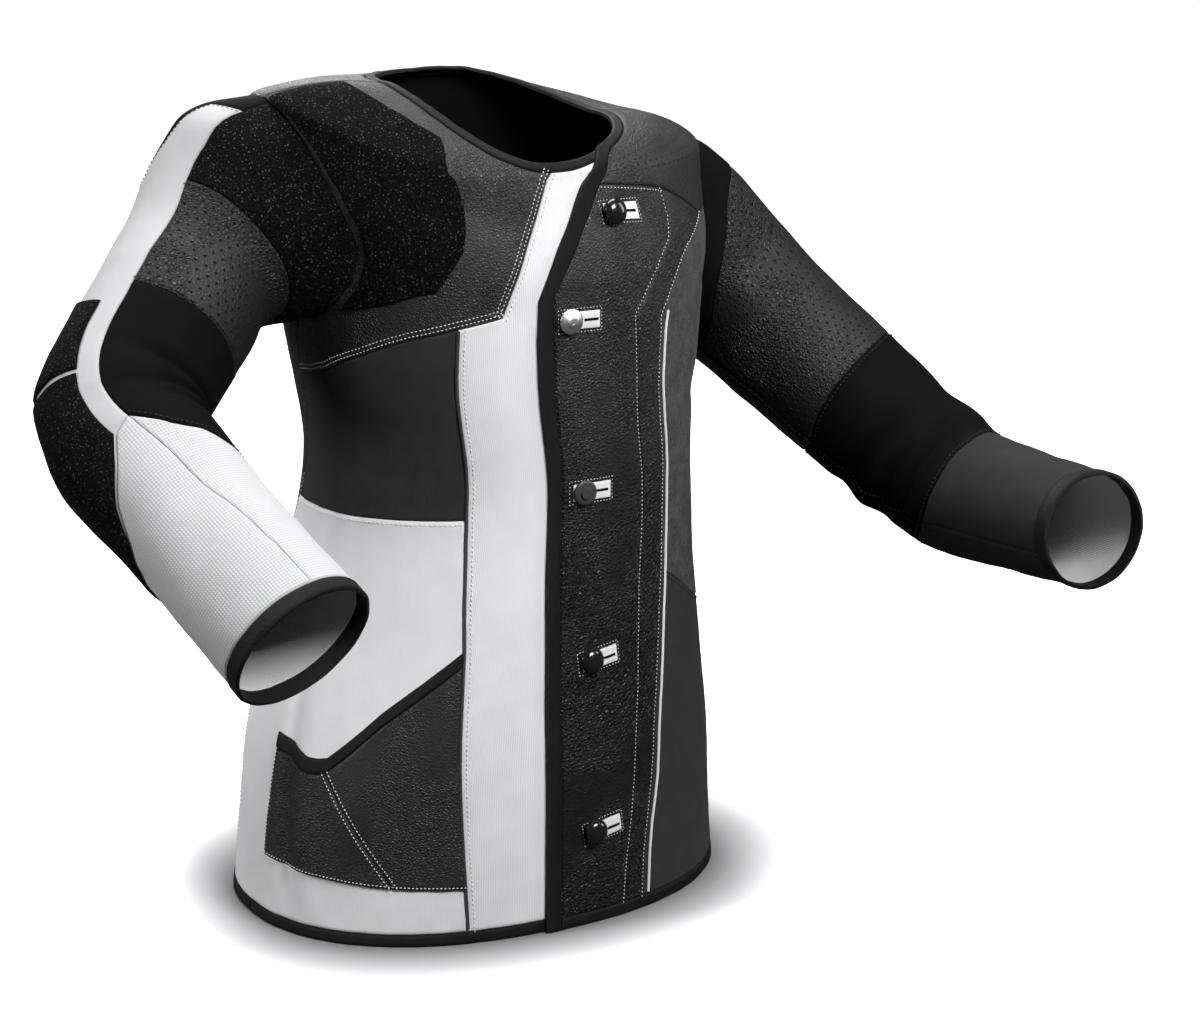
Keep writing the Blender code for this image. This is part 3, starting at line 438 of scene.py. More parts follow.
def leather(look, tone=0.012, holes=None, shine=0.34, specular=0.46, deep=0.00055, pebble=440.0):
    """Grained leather: rounded pebbles with creases between them, the creases painted darker as painted
    shade. holes is a mask for rows of small holes, which are painted nearly black as painted shade.
    """
    broad = look.noise(24.0, 3.0)
    bent = look.node(
        "ShaderNodeVectorMath",
        {0: look.noise(120.0, 1.0, output="Color"), 1: (0.0035, 0.0035, 0.0035), 2: look.solid},
        settings={"operation": "MULTIPLY_ADD"},
    )
    crease = look.ramp(look.cells(pebble, "DISTANCE_TO_EDGE", at=bent), 0.0, 0.34)
    fine = look.cells(950.0, "SMOOTH_F1")
    smooth = look.ramp(look.noise(13.0, 2.0), 0.40, 0.62)
    height = crease * (0.22 + 1.0 * smooth) + (1.0 - fine) * 0.30
    # Random tone, with painted shade that darkens the creases between the pebbles.
    leather_tone_with_painted_shade = tone * (0.50 + 0.50 * broad + 0.45 * crease)
    rough = shine + 0.24 * (1.0 - crease) + 0.12 * broad
    if holes is None:
        return look.done(leather_tone_with_painted_shade, rough, height, deep, specular=specular)
    row = (look.v / HOLES_UP).whole()
    side = (look.u / HOLES_ACROSS + (row * 0.5).part()).part() - 0.5
    up = (look.v / HOLES_UP).part() - 0.5
    far = (side * side * HOLES_ACROSS**2 + up * up * HOLES_UP**2) ** 0.5
    hole = look.ramp(far, 0.00070, 0.00115, 1.0, 0.0) * holes
    # Painted shade: the holes are painted nearly black.
    leather_tone_with_painted_shade = leather_tone_with_painted_shade * (1.0 - 0.98 * hole)
    return look.done(leather_tone_with_painted_shade, rough + 0.5 * hole, height - 3.0 * hole, deep, specular=specular)


def grip(look):
    """Rough granules, a few of which are painted lighter at their tops as painted glints."""
    grain = look.cells(620.0)
    pit = look.ramp(look.noise(520.0, 3.0, 0.75), 0.42, 0.72)
    chosen = look.ramp(look.cells(620.0, output="Color"), 0.36, 0.95)
    # Painted glints: a few granules are lighter towards their middles, where they stand highest.
    painted_glint = chosen * chosen * look.ramp(grain, 0.50, 0.12)
    tone = 0.0006 + 0.006 * pit + 0.115 * painted_glint
    return look.done(tone, 0.80 - 0.3 * painted_glint, (1.0 - grain) * 0.8 + pit, 0.0013, specular=0.08)


def woven(look, tone, across, along, deep, roughness, soft=0.06, ribs=0.05, specular=0.3):
    """Plain cloth: threads of the two pitches, with a soft unevenness and painted shade where the threads
    dip.
    """
    one = (look.u * (2 * math.pi / across)).wave()
    two = (look.v * (2 * math.pi / along)).wave()
    uneven = look.noise(46.0, 4.0)
    fuzz = look.noise(900.0, 2.0)
    height = one * 0.5 + two * 0.5 + fuzz * 0.5
    # The ribs term paints shade into the dips between the threads.
    shade = tone * (1.0 - soft + soft * 2.0 * uneven - ribs * (2.0 - one - two))
    return look.done(shade, roughness, height, deep, specular=specular)


def canvas(look):
    """Close white cloth with fine upright ribs."""
    return woven(look, 0.72, 0.0016, 0.0007, 0.00005, 0.82, 0.03, ribs=0.015)


def grid_weave(look):
    """White cloth with small raised squares in a grid, and painted shade in the grooves between them."""
    across, along = ((way * (math.pi / 0.0022)).wave().size() for way in (look.u, look.v))
    square = look.ramp(across.least(along), 0.10, 0.75)
    uneven = look.noise(30.0, 3.0)
    # The grooves between the squares are painted darker: painted shade.
    tone = 0.36 + 0.12 * square + 0.05 * uneven
    return look.done(tone, 0.78, square + 0.4 * look.noise(800.0), 0.00024, specular=0.3)


def twill(look):
    """Dark cloth with fine slanted ribs, painted darker in the dips between them as painted shade."""
    slant = ((look.u + look.v * 0.7) * (2 * math.pi / 0.0010)).wave()
    uneven = look.noise(60.0, 4.0, 0.6)
    # The slant term paints shade into the dips between the ribs.
    tone = 0.031 * (0.70 + 0.45 * uneven + 0.18 * slant)
    return look.done(tone, 0.85, slant + look.noise(800.0), 0.00012, sheen=0.03, specular=0.15)


def stretch(look):
    """Smooth black knit."""
    knit = (look.v * (2 * math.pi / 0.0009)).wave()
    tone = 0.0020 + 0.0016 * look.noise(40.0)
    return look.done(tone, 0.78, knit + look.noise(600.0), 0.00006, specular=0.05)


def suede(look):
    """Short nap that lies in soft patches."""
    patch = look.ramp(look.noise(70.0, 5.0, 0.65), 0.36, 0.64)
    nap = look.ramp(look.noise(650.0, 3.0, 0.7), 0.34, 0.66)
    tone = 0.024 + 0.026 * patch + 0.028 * nap
    return look.done(tone, 0.95, nap + patch, 0.00040, sheen=0.05, specular=0.10)


def ribbed(look):
    """Black tape with fine ribs across it, painted darker in the dips between them as painted shade."""
    rib = ((look.u + look.v) * (2 * math.pi / 0.0011)).wave()
    # The rib term paints shade into the dips between the ribs.
    return look.done(0.0045 + 0.0015 * rib, 0.62, rib + look.noise(500.0), 0.00012, specular=0.20)


def plain(look, tone, roughness, grain=0.05, deep=0.00004, scale=500.0, **options):
    speckle = look.noise(scale, 3.0)
    return look.done(tone * (1.0 - grain + 2.0 * grain * speckle), roughness, speckle, deep, **options)


def brushed(look):
    """Turned metal with fine rings."""
    ring = look.noise(1200.0, 2.0)
    return look.done(0.72 + 0.10 * ring, 0.34 + 0.1 * ring, ring, 0.00002, metallic=1.0)


def height_above_floor(look):
    return look.node("ShaderNodeSeparateXYZ", {"Vector": look.solid}, "Z")


def front_band(look):
    """The left front's leather, with painted shade that makes it much darker in its lower half."""
    # Painted shade: below about 0.3 m the leather's tone falls to near black.
    low = look.ramp(height_above_floor(look), 0.30, 0.40)
    return leather(look, 0.0010 + 0.0120 * low, shine=0.28, specular=0.42, deep=0.00085, pebble=400.0)


def shoulder(look):
    """Leather with its rows of holes only near the top."""
    high = height_above_floor(look)
    holes = look.ramp(high, 0.560, 0.566) * look.ramp(high, 0.588, 0.594, 1.0, 0.0)
    return leather(look, 0.012, holes=holes)


LOOKS = {
    "canvas": canvas,
    "white_weave": grid_weave,
    "sleeve_canvas": lambda look: plain(look, 0.38, 0.80, scale=900.0, deep=0.00008),
    "leather": leather,
    "front_leather": front_band,
    "perforated": lambda look: leather(look, 0.0048, holes=1.0, specular=0.34, deep=0.00085, pebble=350.0),
    "shoulder_leather": shoulder,
    "grip": grip,
    "fabric": twill,
    "forearm_cloth": lambda look: woven(look, 0.020, 0.0016, 0.0016, 0.00018, 0.85, 0.12, specular=0.15),
    "stretch": stretch,
    "suede": suede,
    "binding": ribbed,
    "piping": lambda look: plain(look, 0.030, 0.6),
    "white_trim": lambda look: plain(look, 0.68, 0.5),
    "black_gloss": lambda look: plain(look, 0.008, 0.18, coat=0.3, scale=60.0, deep=0.0),
    "dark_disc": lambda look: plain(look, 0.040, 0.38, scale=60.0, deep=0.0),
    "metal": brushed,
    "light_thread": lambda look: plain(look, 0.62, 0.6),
    "white_thread": lambda look: plain(look, 0.70, 0.7),
    "dark_thread": lambda look: plain(look, 0.010, 0.5, specular=0.3),
    "black_inside": lambda look: plain(look, 0.004, 0.95, specular=0.1),
    "grey_inside": lambda look: woven(look, 0.50, 0.0016, 0.0016, 0.00012, 0.9, 0.06),
}
materials = {}


def material(name):
    if name not in materials:
        materials[name] = LOOKS[name](Look(name))
    return materials[name]


def placed(name, data):
    """An object of the scene, at the origin."""
    made = bpy.data.objects.new(name, data)
    bpy.context.scene.collection.objects.link(made)
    return made


def ripple(points, size, seed, waves=7):
    """Soft waves through space, about size long and 1 high."""
    chance = np.random.default_rng(seed)
    total = np.zeros(points.shape[:-1])
    for _ in range(waves):
        way = unit(chance.normal(size=3))
        long = size * chance.uniform(0.7, 1.4)
        total += np.sin(points @ way * (2 * math.pi / long) + chance.uniform(0, 2 * math.pi))
    return total / math.sqrt(waves)


BODY_ACROSS = 0.165  # metres for one radian round the body
BODY_UP = 0.64  # metres from hem to neck
SLEEVE_ACROSS = 0.052  # metres for one radian round a sleeve

# Waves of the cloth through space: height, length and seed of each.
BODY_WAVES = [(0.0005, 0.085, 3), (0.00016, 0.028, 5)]
SLEEVE_WAVES = [(0.0004, 0.060, 11), (0.00014, 0.022, 13)]

# Soft hollows and ridges of the body.
BODY_FOLDS = [
    # angle, height, half_across, half_up, lean, rise
    (-1.32, 0.16, 0.007, 0.120, 4.0, -0.0035),
    (-1.18, 0.16, 0.012, 0.110, 4.0, 0.0022),
    (-1.05, 0.56, 0.045, 0.012, 12.0, -0.0022),
    (-1.10, 0.50, 0.050, 0.012, 6.0, 0.0016),
    (-0.80, 0.83, 0.030, 0.050, 20.0, 0.0016),
    (0.95, 0.62, 0.050, 0.014, -25.0, -0.0020),
    (0.80, 0.30, 0.060, 0.030, 15.0, 0.0014),
    (2.60, 0.50, 0.070, 0.012, 5.0, -0.0022),
    (3.60, 0.46, 0.080, 0.014, -6.0, -0.0022),
    (3.14, 0.60, 0.050, 0.030, 0.0, 0.0018),
]
# Folds of the sleeves: angle in degrees and fraction along.
SLEEVE_FOLDS = {
    "right": [
        # degrees, fraction, half_across, half_along, lean, rise
        (60, 0.44, 0.050, 0.0060, 8.0, -0.0024),
        (80, 0.50, 0.055, 0.0060, -6.0, -0.0026),
        (95, 0.56, 0.045, 0.0055, 10.0, -0.0022),
        (20, 0.74, 0.016, 0.050, 30.0, -0.0022),
        (-10, 0.70, 0.020, 0.045, 25.0, 0.0018),
        (70, 0.80, 0.015, 0.050, -20.0, -0.0020),
        (110, 0.20, 0.040, 0.010, 10.0, -0.0018),
        (30, 0.24, 0.045, 0.010, -12.0, 0.0014),
        (-75, 0.455, 0.018, 0.014, 0.0, 0.0055),
        (-95, 0.075, 0.040, 0.030, 0.0, 0.0060),
        (0, 0.035, 0.030, 0.020, 0.0, 0.0110),
    ],
    "left": [
        (150, 0.455, 0.050, 0.0080, -8.0, -0.0040),
        (160, 0.520, 0.050, 0.0080, 6.0, -0.0042),
        (140, 0.585, 0.045, 0.0070, -10.0, -0.0030),
        (0, 0.545, 0.050, 0.020, 0.0, 0.0040),
        (10, 0.475, 0.050, 0.012, 0.0, -0.0020),
        (170, 0.490, 0.040, 0.010, 0.0, 0.0040),
        (150, 0.250, 0.030, 0.014, 25.0, -0.0018),
        (60, 0.780, 0.020, 0.050, 20.0, -0.0014),
    ],
}


def folds(rows, a, b, waves, points):
    """The height of a table of folds, each of which falls softly to 0, and of waves. All is in metres."""
    total = 0.0
    for at_a, at_b, wide, long, lean, rise in rows:
        x = a - at_a
        y = b - at_b
        cos = math.cos(math.radians(lean))
        sin = math.sin(math.radians(lean))
        far = -(((x * cos + y * sin) / wide) ** 2) - ((y * cos - x * sin) / long) ** 2
        total = total + rise * np.exp(far)
    for rise, long, seed in waves:
        total = total + rise * ripple(points, long, seed)
    return total


def eased(place, low, high):
    """1 along a piece, and down to 0 over its first and last stretch."""
    return np.clip(place / low, 0, 1) * np.clip((1.0 - place) / high, 0, 1)


def body_relief(angle, height, points):
    """How far the body's cloth stands out from its plain surface."""
    turned = np.where(angle > math.pi * 1.4, angle - 2 * math.pi, angle)
    rows = [(a * BODY_ACROSS, h * BODY_UP, *rest) for a, h, *rest in BODY_FOLDS]
    total = folds(rows, turned * BODY_ACROSS, height * BODY_UP, BODY_WAVES, points)
    return total * eased(height, 0.05, 0.05)


def sleeve_relief(side, phi, fraction, points):
    """How far a sleeve's cloth stands out from its plain surface."""
    total = centreline(side, 0.0)[4]
    degrees = np.degrees(phi)
    degrees = np.where(degrees > 250, degrees - 360, degrees)
    rows = [(math.radians(d) * SLEEVE_ACROSS, f * total, *rest) for d, f, *rest in SLEEVE_FOLDS[side]]
    found = folds(rows, np.radians(degrees) * SLEEVE_ACROSS, fraction * total, SLEEVE_WAVES, points)
    return found * eased(fraction, 0.06, 0.04)


def relief(surface, grid, points):
    a = grid[..., 0]
    b = grid[..., 1]
    if surface in (body, body_lap):
        return body_relief(a, b, points)
    if surface is right_face:
        return sleeve_relief("right", a, 1 - b, points)
    return sleeve_relief("left", a, b, points)


def cloth_places(surface, grid):
    """Where a place lies on the flat cloth, in metres, so that a pattern keeps its size."""
    if surface in (body, body_lap):
        return np.stack([grid[..., 0] * BODY_ACROSS, grid[..., 1] * BODY_UP], -1)
    side = "right" if surface is right_face else "left"
    return np.stack([grid[..., 0] * SLEEVE_ACROSS, grid[..., 1] * centreline(side, 0.0)[4]], -1)


def refined(surface, grid, closed):
    """The grid with cells no longer than CELL, and two close rows along each open side."""
    for axis in (0, 1):
        g = np.moveaxis(grid, axis, 0)
        p = surface(g[..., 0], g[..., 1])
        length = np.linalg.norm(np.diff(p, axis=0), axis=-1).mean(-1)
        places = [0.0]
        for i, size in enumerate(length):
            steps = max(1, math.ceil(size / CELL))
            places.extend(i + (k + 1) / steps for k in range(steps))
        places = np.array(places)
        if not (closed and axis == 0):
            first = places[1]
            last = len(g) - 1 - places[-2]
            near = [0.0] + [first * part for part in ROWS_AT_EDGE]
            far = [len(g) - 1 - last * part for part in ROWS_AT_EDGE[::-1]]
            places = np.concatenate([near, places[1:-1], far, [len(g) - 1]])
        low = np.minimum(places.astype(int), len(g) - 2)
        t = (places - low)[:, None, None]
        grid = np.moveaxis(g[low] * (1 - t) + g[low + 1] * t, 0, axis)
    return grid


def edge_distance(points, closed):
    """How far each place is from the nearest side of its piece."""
    found = np.full(points.shape[:2], np.inf)
    for axis in (0, 1):
        if closed and axis == 0:
            continue
        p = np.moveaxis(points, axis, 0)
        step = np.linalg.norm(np.diff(p, axis=0), axis=-1)
        along = np.concatenate([np.zeros((1, step.shape[1])), np.cumsum(step, 0)])
        found = np.minimum(found, np.moveaxis(np.minimum(along, along[-1] - along), 0, axis))
    return found


def mesh_from(name, points, quads, places, looks, inside=None, edge=None):
    """An object of four-sided faces. places are the cloth places of each face's corners."""
    mesh = bpy.data.meshes.new(name)
    mesh.vertices.add(len(points))
    mesh.vertices.foreach_set("co", (points + SHIFT).astype(np.float32).ravel())
    mesh.loops.add(quads.size)
    mesh.loops.foreach_set("vertex_index", quads.astype(np.int32).ravel())
    mesh.polygons.add(len(quads))
    mesh.polygons.foreach_set("loop_start", np.arange(0, quads.size, 4, dtype=np.int32))
    mesh.update(calc_edges=True)
    layer = mesh.uv_layers.new(name="Cloth")
    layer.uv.foreach_set("vector", places.astype(np.float32).ravel())
    for look in looks:
        mesh.materials.append(material(look))
    if inside is not None:
        mesh.polygons.foreach_set("material_index", inside.astype(np.int32))
    if edge is not None:
        mesh.attributes.new("edge", "FLOAT", "POINT").data.foreach_set("value", edge.astype(np.float32))
    mesh.shade_smooth()
    mesh.set_sharp_from_angle(angle=math.radians(50))
    return placed(name + "_cloth", mesh)


def shell_faces(m, n, closed):
    """The faces of a closed wall between two grids of m by n places, and which of its corners each uses.

    A closed one runs round: its last row of places is its first row of points.
    """
    i, j = np.meshgrid(np.arange(m - 1), np.arange(n - 1), indexing="ij")
    outer = np.stack([[i, j], [i + 1, j], [i + 1, j + 1], [i, j + 1]], 0)
    face = outer.transpose(2, 3, 0, 1).reshape(-1, 4, 2)
    count = len(face)
    sides = [face, face[:, ::-1]]
    layers = [np.zeros((count, 4), int), np.ones((count, 4), int)]
    rims = [(m, 0, True, False), (m, n - 1, False, False)]
    if not closed:
        rims += [(n, 0, False, True), (n, m - 1, True, True)]
    for long, at, turned, across in rims:
        k = np.arange(long - 1)
        ends = [[k, 0 * k + at], [k + 1, 0 * k + at]]
        edge = np.stack([end[::-1] for end in ends] if across else ends, 0).transpose(2, 0, 1)
        quad = np.concatenate([edge, edge[:, ::-1]], 1)
        sides.append(quad[:, [1, 0, 3, 2]] if turned else quad)
        layers.append(np.tile([0, 0, 1, 1], (len(k), 1)))
    return np.concatenate(sides), np.concatenate(layers), count


def shell(name, looks, surface, grid, outer, inner, closed=False, near=None):
    """An object of a closed wall between two faces. near is how far each place is from an edge."""
    m, n = grid.shape[:2]
    corners, layer, count = shell_faces(m, n, closed)
    rows = m - 1 if closed else m
    ids = corners[..., 0] % rows * n + corners[..., 1] + layer * rows * n
    points = np.concatenate([outer[:rows].reshape(-1, 3), inner[:rows].reshape(-1, 3)])
    places = cloth_places(surface, grid)[corners[..., 0], corners[..., 1]]
    if near is None:
        return mesh_from(name, points, ids, places, looks)
    within = np.zeros(len(corners))
    within[count : 2 * count] = 1
    return mesh_from(name, points, ids, places, looks, within, np.tile(near[:rows].reshape(-1), 2))


SHEETS = []


def wall(
    name, colour, surface, grid, thick=WALL, lift=0.0, closed=False, gap=SEAM_GAP / 2, flat_hem=False,
    inside="black_inside", drop=EDGE_DROP, pucker=PUCKER,
):
    """A panel made fine: it follows the surface and its folds, and its edges turn down into the seams."""
    seams = refined(surface, grid, closed)
    grid = seams if closed else drawn_in(surface, seams, gap)
    face = surface(grid[..., 0], grid[..., 1])
    out = normals(surface, grid[..., 0], grid[..., 1])
    near = edge_distance(face, closed)
    stand = relief(surface, grid, face)
    stand = stand + pucker * ripple(face, PUCKER_LONG, 17) * np.exp(-near / PUCKER_REACH)
    turn = drop * np.clip(1 - near / EDGE_ROUND, 0, 1) ** 2
    outer = face + out * (lift + stand - turn)[..., None]
    # The inner side runs on to the seams, so that no light passes between two panels.
    under = surface(seams[..., 0], seams[..., 1])
    inner = under + normals(surface, seams[..., 0], seams[..., 1]) * (lift + stand - thick)[..., None]
    for layer in (outer, inner):
        if flat_hem:
            layer[:, 0, 2] = 0.0
        layer[..., 2] = np.maximum(layer[..., 2], 0.0)
    made = shell(name, [colour, inside], surface, grid, outer, inner, closed, near)
    spans = [np.linalg.norm(np.diff(outer, axis=axis), axis=-1).sum(axis) for axis in (0, 1)]
    across = outer[1:, :-1] - outer[:-1, :-1]
    along = outer[:-1, 1:] - outer[:-1, :-1]
    area = float(np.linalg.norm(np.cross(across, along), axis=-1).sum())
    SHEETS.append((name, made, colour, float(spans[0].max()), float(spans[1].max()), area))


def ride_line(surface, places, aside=0.0, lift=0.0, spacing=0.0015):
    """Points on a surface's folds along a line of places, moved aside to its right, and lifted."""
    p = surface(places[:, 0], places[:, 1])
    along = np.concatenate([[0], np.cumsum(np.linalg.norm(np.diff(p, axis=0), axis=1))])
    at = np.linspace(0, along[-1], max(3, int(along[-1] / spacing)))
    dense = np.stack([np.interp(at, along, places[:, k]) for k in (0, 1)], -1)
    p = surface(dense[:, 0], dense[:, 1])
    out = normals(surface, dense[:, 0], dense[:, 1])
    side = unit(np.cross(np.gradient(p, axis=0), out))
    return p + side * aside + out * (lift + relief(surface, dense, p))[:, None], side, out


def cord(name, colour, surface, places, half, tall, lift):
    """A raised cord along a line on a surface, half round."""
    spacing = 0.0025
    p, side, out = ride_line(surface, places, spacing=spacing)
    turns = np.linspace(0, math.pi, 9)
    ring = np.stack([p - side * half * math.cos(t) + out * (lift + tall * math.sin(t)) for t in turns], 1)
    n, k = ring.shape[:2]
    i, j = np.meshgrid(np.arange(n - 1), np.arange(k), indexing="ij")
    quads = np.stack([i * k + j, i * k + (j + 1) % k, (i + 1) * k + (j + 1) % k, (i + 1) * k + j], -1)
    quads = quads.reshape(-1, 4)
    caps = []
    for r, turned in ((0, True), (n - 1, False)):
        for j in range(0, k - 3, 2):
            cap = [r * k, r * k + j + 1, r * k + j + 2, r * k + j + 3]
            caps.append(cap[::-1] if turned else cap)
    quads = np.concatenate([quads, np.array(caps)])
    places = np.stack([quads // k * spacing, quads % k * 0.001], -1)
    PIECES.append((mesh_from(name, ring.reshape(-1, 3), quads, places, [colour]), name, colour))


# Places of the seams on the body: angle and height. Lines that two panels share are used by both.
PIPING_TOP = (-0.490, 0.701)
YOKE_CORNER = (-0.280, 0.721)

# Sleeve columns: angles round each sleeve, in degrees, shared by the armhole edges of the body's panels.
RIGHT_START = -108
RIGHT_SEAM = 8
RIGHT_END = RIGHT_START + 360
RIGHT_COLUMNS = [RIGHT_START + 100 / 6 * k for k in range(7)] + [RIGHT_SEAM + 244 / 13 * k for k in range(14)]
LEFT_COLUMNS = [-36 + 18 * k for k in range(21)]


def armhole_lines(side, columns, top, under):
    """The armhole's front half, upwards, and its back half, upwards, through the numbered columns."""
    front = columns[top : under + 1][::-1]
    back = columns[under:-1] + [c + 360 for c in columns[: top + 1]]
    return [np.stack(armhole_at(side, np.radians(np.array(half, float))), -1) for half in (front, back)]


right_front_hole, right_back_hole = armhole_lines("right", RIGHT_COLUMNS, 7, 16)
left_front_hole, left_back_hole = armhole_lines("left", LEFT_COLUMNS, 2, 12)


# Lines of seams on the body.
def between(points, low, high, count, scale=BODY_SCALE):
    """The part of a bent line between two heights, as count places."""
    points = np.array(points, float)
    inside = points[(points[:, 1] > low + 1e-6) & (points[:, 1] < high - 1e-6)]
    ends = [(np.interp(h, points[:, 1], points[:, 0]), h) for h in (low, high)]
    return line([ends[0], *inside, ends[1]], count, scale)


def line_at(points, heights):
    """Places on a bent line at the given heights."""
    return np.stack([np.interp(heights, [h for _, h in points], [a for a, _ in points]), heights], -1)


def between_angles(points, start, end, count):
    """The part of a bent line between two angles, as count places."""
    return between([(h, a) for a, h in points], start, end, count, scale=BODY_SCALE[::-1])[:, ::-1]


def ends(left, right, count):
    """The lines between the first and between the last places of two sides."""
    return [line([left[k], right[k]], count) for k in (0, -1)]


SIDE_SEAM_LOW = -2.000  # the right side seam's angle at the hem
HEM_MEET = -1.571  # where the hem's right and back bindings meet
LEFT_SIDE = 1.600  # the left side seam's angle
CANVAS_HIGH = 0.483  # the canvas's height at the piping, and at the side seam
CANVAS_SIDE = 0.460
YOKE_SIDE = 0.592  # the right yoke's height at the side seam
ARMPIT_RIGHT = 0.6552
ARMPIT_LEFT = 0.645
SUEDE_SIDE = 0.310  # the suede's height at the left side seam
BACK_YOKE = 0.775  # the back yoke's height in the middle
PIPING = [(-0.376, 0.0), (-0.470, 0.341), (-0.535, CANVAS_HIGH), (-0.530, 0.600), PIPING_TOP]
RIGHT_SIDE_SEAM = [(SIDE_SEAM_LOW, 0.0), (-1.960, 0.400), (-1.539, ARMPIT_RIGHT)]
RIGHT_BACK_SEAM = [(a + 2 * math.pi, h) for a, h in RIGHT_SIDE_SEAM]
LEFT_SIDE_SEAM = [(LEFT_SIDE, 0.0), (LEFT_SIDE, ARMPIT_LEFT)]
YOKE_SEAM = [(-1.6428, YOKE_SIDE), (-1.383, 0.601), (-1.047, 0.635), (-0.771, 0.671), PIPING_TOP]
CANVAS_TOP = [
    (-1.861, CANVAS_SIDE), (-1.370, 0.463), (-1.190, 0.466), (-0.920, 0.473), (-0.535, CANVAS_HIGH),
]
YOKE_FRONT = [
    (-0.280, 0.721), (-0.170, 0.800), (-0.064, 0.880), (-0.015, 0.920), (-0.005, 0.940), (-0.016, 0.967),
]
GRIP_CORNER = (-0.600, 0.690)
GRIP_LEAD_IN = [GRIP_CORNER, (-0.600, 0.708), (-0.598, 0.727)]
GRIP_FRONT = [
    (-0.583, 0.745), (-0.497, 0.778), (-0.425, 0.810), (-0.394, 0.840), (-0.384, 0.868), (-0.385, 0.895),
    (-0.400, 0.921), (-0.455, 0.942), (-0.555, 0.958), (-0.690, 0.972), (-0.853, 0.983),
]
LAP_OUTER = [
    (-0.078, 0.0), (-0.075, 0.2), (-0.125, 0.45), (-0.135, 0.735), (-0.020, 0.820), (0.100, 0.900),
    (0.187, 0.948), (0.268, 0.970), (0.367, 0.985), (0.490, NECK_EDGE),
]
LAP_INNER = [
    (-0.026, 0.0), (-0.022, 0.2), (-0.066, 0.45), (-0.066, 0.745), (0.094, 0.850), (0.186, 0.900),
    (0.278, 0.948), (0.369, 0.970), (0.513, 0.985), (0.739, NECK_EDGE),
]
BAND_EDGE = [
    (0.225, 0.0), (0.254, 0.08), (0.289, 0.13), (0.323, 0.255), (0.349, 0.385), (0.375, 0.49),
    (0.340, 0.597), (0.323, 0.717), (0.582, 0.836), (0.556, 0.900),
]
STRIP_EDGE = [
    (0.320, 0.0), (0.349, 0.09), (0.392, 0.144), (0.426, 0.232), (0.470, 0.315), (0.513, 0.400),
    (0.530, 0.461), (0.530, 0.537), (0.487, 0.637), (0.495, 0.713), (0.676, 0.804), (0.918, 0.864),
]
SUEDE_LOW = [(0.513, 0.400), (0.668, 0.379), (0.771, 0.365), (0.943, 0.343), (LEFT_SIDE, SUEDE_SIDE)]
YOKE_BACK_LOW = [(2.1231, 0.7452), (math.pi, BACK_YOKE), (4.1623, 0.7918)]
NECK_RIGHT, NECK_LEFT = on_neck_seam([(-1.487, 0), (LEFT_SIDE, 0)])
YOKE_FRONT[-1] = on_neck_seam(YOKE_FRONT[-1:])[0]
GRIP_FRONT[-1] = on_neck_seam(GRIP_FRONT[-1:])[0]

piping_low = between(PIPING, HEM_BAND, CANVAS_HIGH, 10)
hem_right = line([(SIDE_SEAM_LOW, HEM_BAND), piping_low[0]], 9)
side_right = between(RIGHT_SIDE_SEAM, HEM_BAND, CANVAS_SIDE, 10)
canvas_top = line(CANVAS_TOP, 9)
wall("right_front_canvas", "canvas", body, fill(hem_right, canvas_top, side_right, piping_low))

side_chest = between(RIGHT_SIDE_SEAM, CANVAS_SIDE, YOKE_SIDE, 5)
piping_mid = between(PIPING, CANVAS_HIGH, PIPING_TOP[1], 5)
yoke_middle = between_angles(YOKE_SEAM, -1.470, GRIP_CORNER[0], 7)
yoke_seam = np.concatenate([YOKE_SEAM[:1], yoke_middle, [PIPING_TOP]])
wall("right_chest_fabric", "fabric", body, fill(canvas_top, yoke_seam, side_chest, piping_mid))

# The yoke is made in three blocks, so that the grip patch can take its points.
yoke_corner = line([PIPING_TOP, YOKE_CORNER], 3)
yoke_low = joined(yoke_seam, yoke_corner)
yoke_left = joined(
    np.array([YOKE_SEAM[0], right_front_hole[0]]),
    right_front_hole,
    line([right_front_hole[-1], NECK_RIGHT], 4),
)
yoke_right = line(YOKE_FRONT, len(yoke_left))
sliver = yoke_left + [0.055, 0.0]
sliver[:3] = [yoke_low[1], (-1.440, 0.642), (-1.270, 0.660)]
sliver[-1] = on_neck_seam(sliver[-1:])[0]
grip_front = np.array(GRIP_LEAD_IN + GRIP_FRONT)
neck_right = line([NECK_RIGHT, YOKE_FRONT[-1]], len(yoke_low))
neck_right[1] = sliver[-1]
neck_right[2:7] = line([sliver[-1], grip_front[-1]], 7)[1:6]
neck_right[7] = grip_front[-1]
neck_right[8:10] = line([grip_front[-1], (-0.33, 0.980), YOKE_FRONT[-1]], 4, scale=(0.17, 0.0))[1:3]
neck_right = on_neck_seam(neck_right)
blocks = [(0, 2, yoke_left, sliver), (1, 8, sliver, grip_front), (7, 11, grip_front, yoke_right)]
yoke_parts = [fill(yoke_low[i:k], neck_right[i:k], one, two) for i, k, one, two in blocks]
yoke_grid = np.concatenate([yoke_parts[0][:1], yoke_parts[1][:-1], yoke_parts[2]])
wall("right_yoke", "leather", body, yoke_grid)
grip_grid = yoke_grid[1:8, 3:13]
wall("right_shoulder_grip", "grip", body, grip_grid, thick=PATCH, lift=LAY + PATCH, gap=0.0004)

placket_left = joined(piping_low, piping_mid, yoke_corner, yoke_right)
placket_right = line_at(UNDERLAP, placket_left[:, 1])
placket_right[-1] = on_neck_seam(placket_right[-1:])[0]
placket_low, placket_top = ends(placket_left, placket_right, 6)
placket_top = on_neck_seam(placket_top)
wall("right_placket", "canvas", body, fill(placket_low, placket_top, placket_left, placket_right))

cord("right_piping", "piping", body, between(PIPING, 0.018, 0.700, 18), 0.0014, 0.0012, 0.0003)

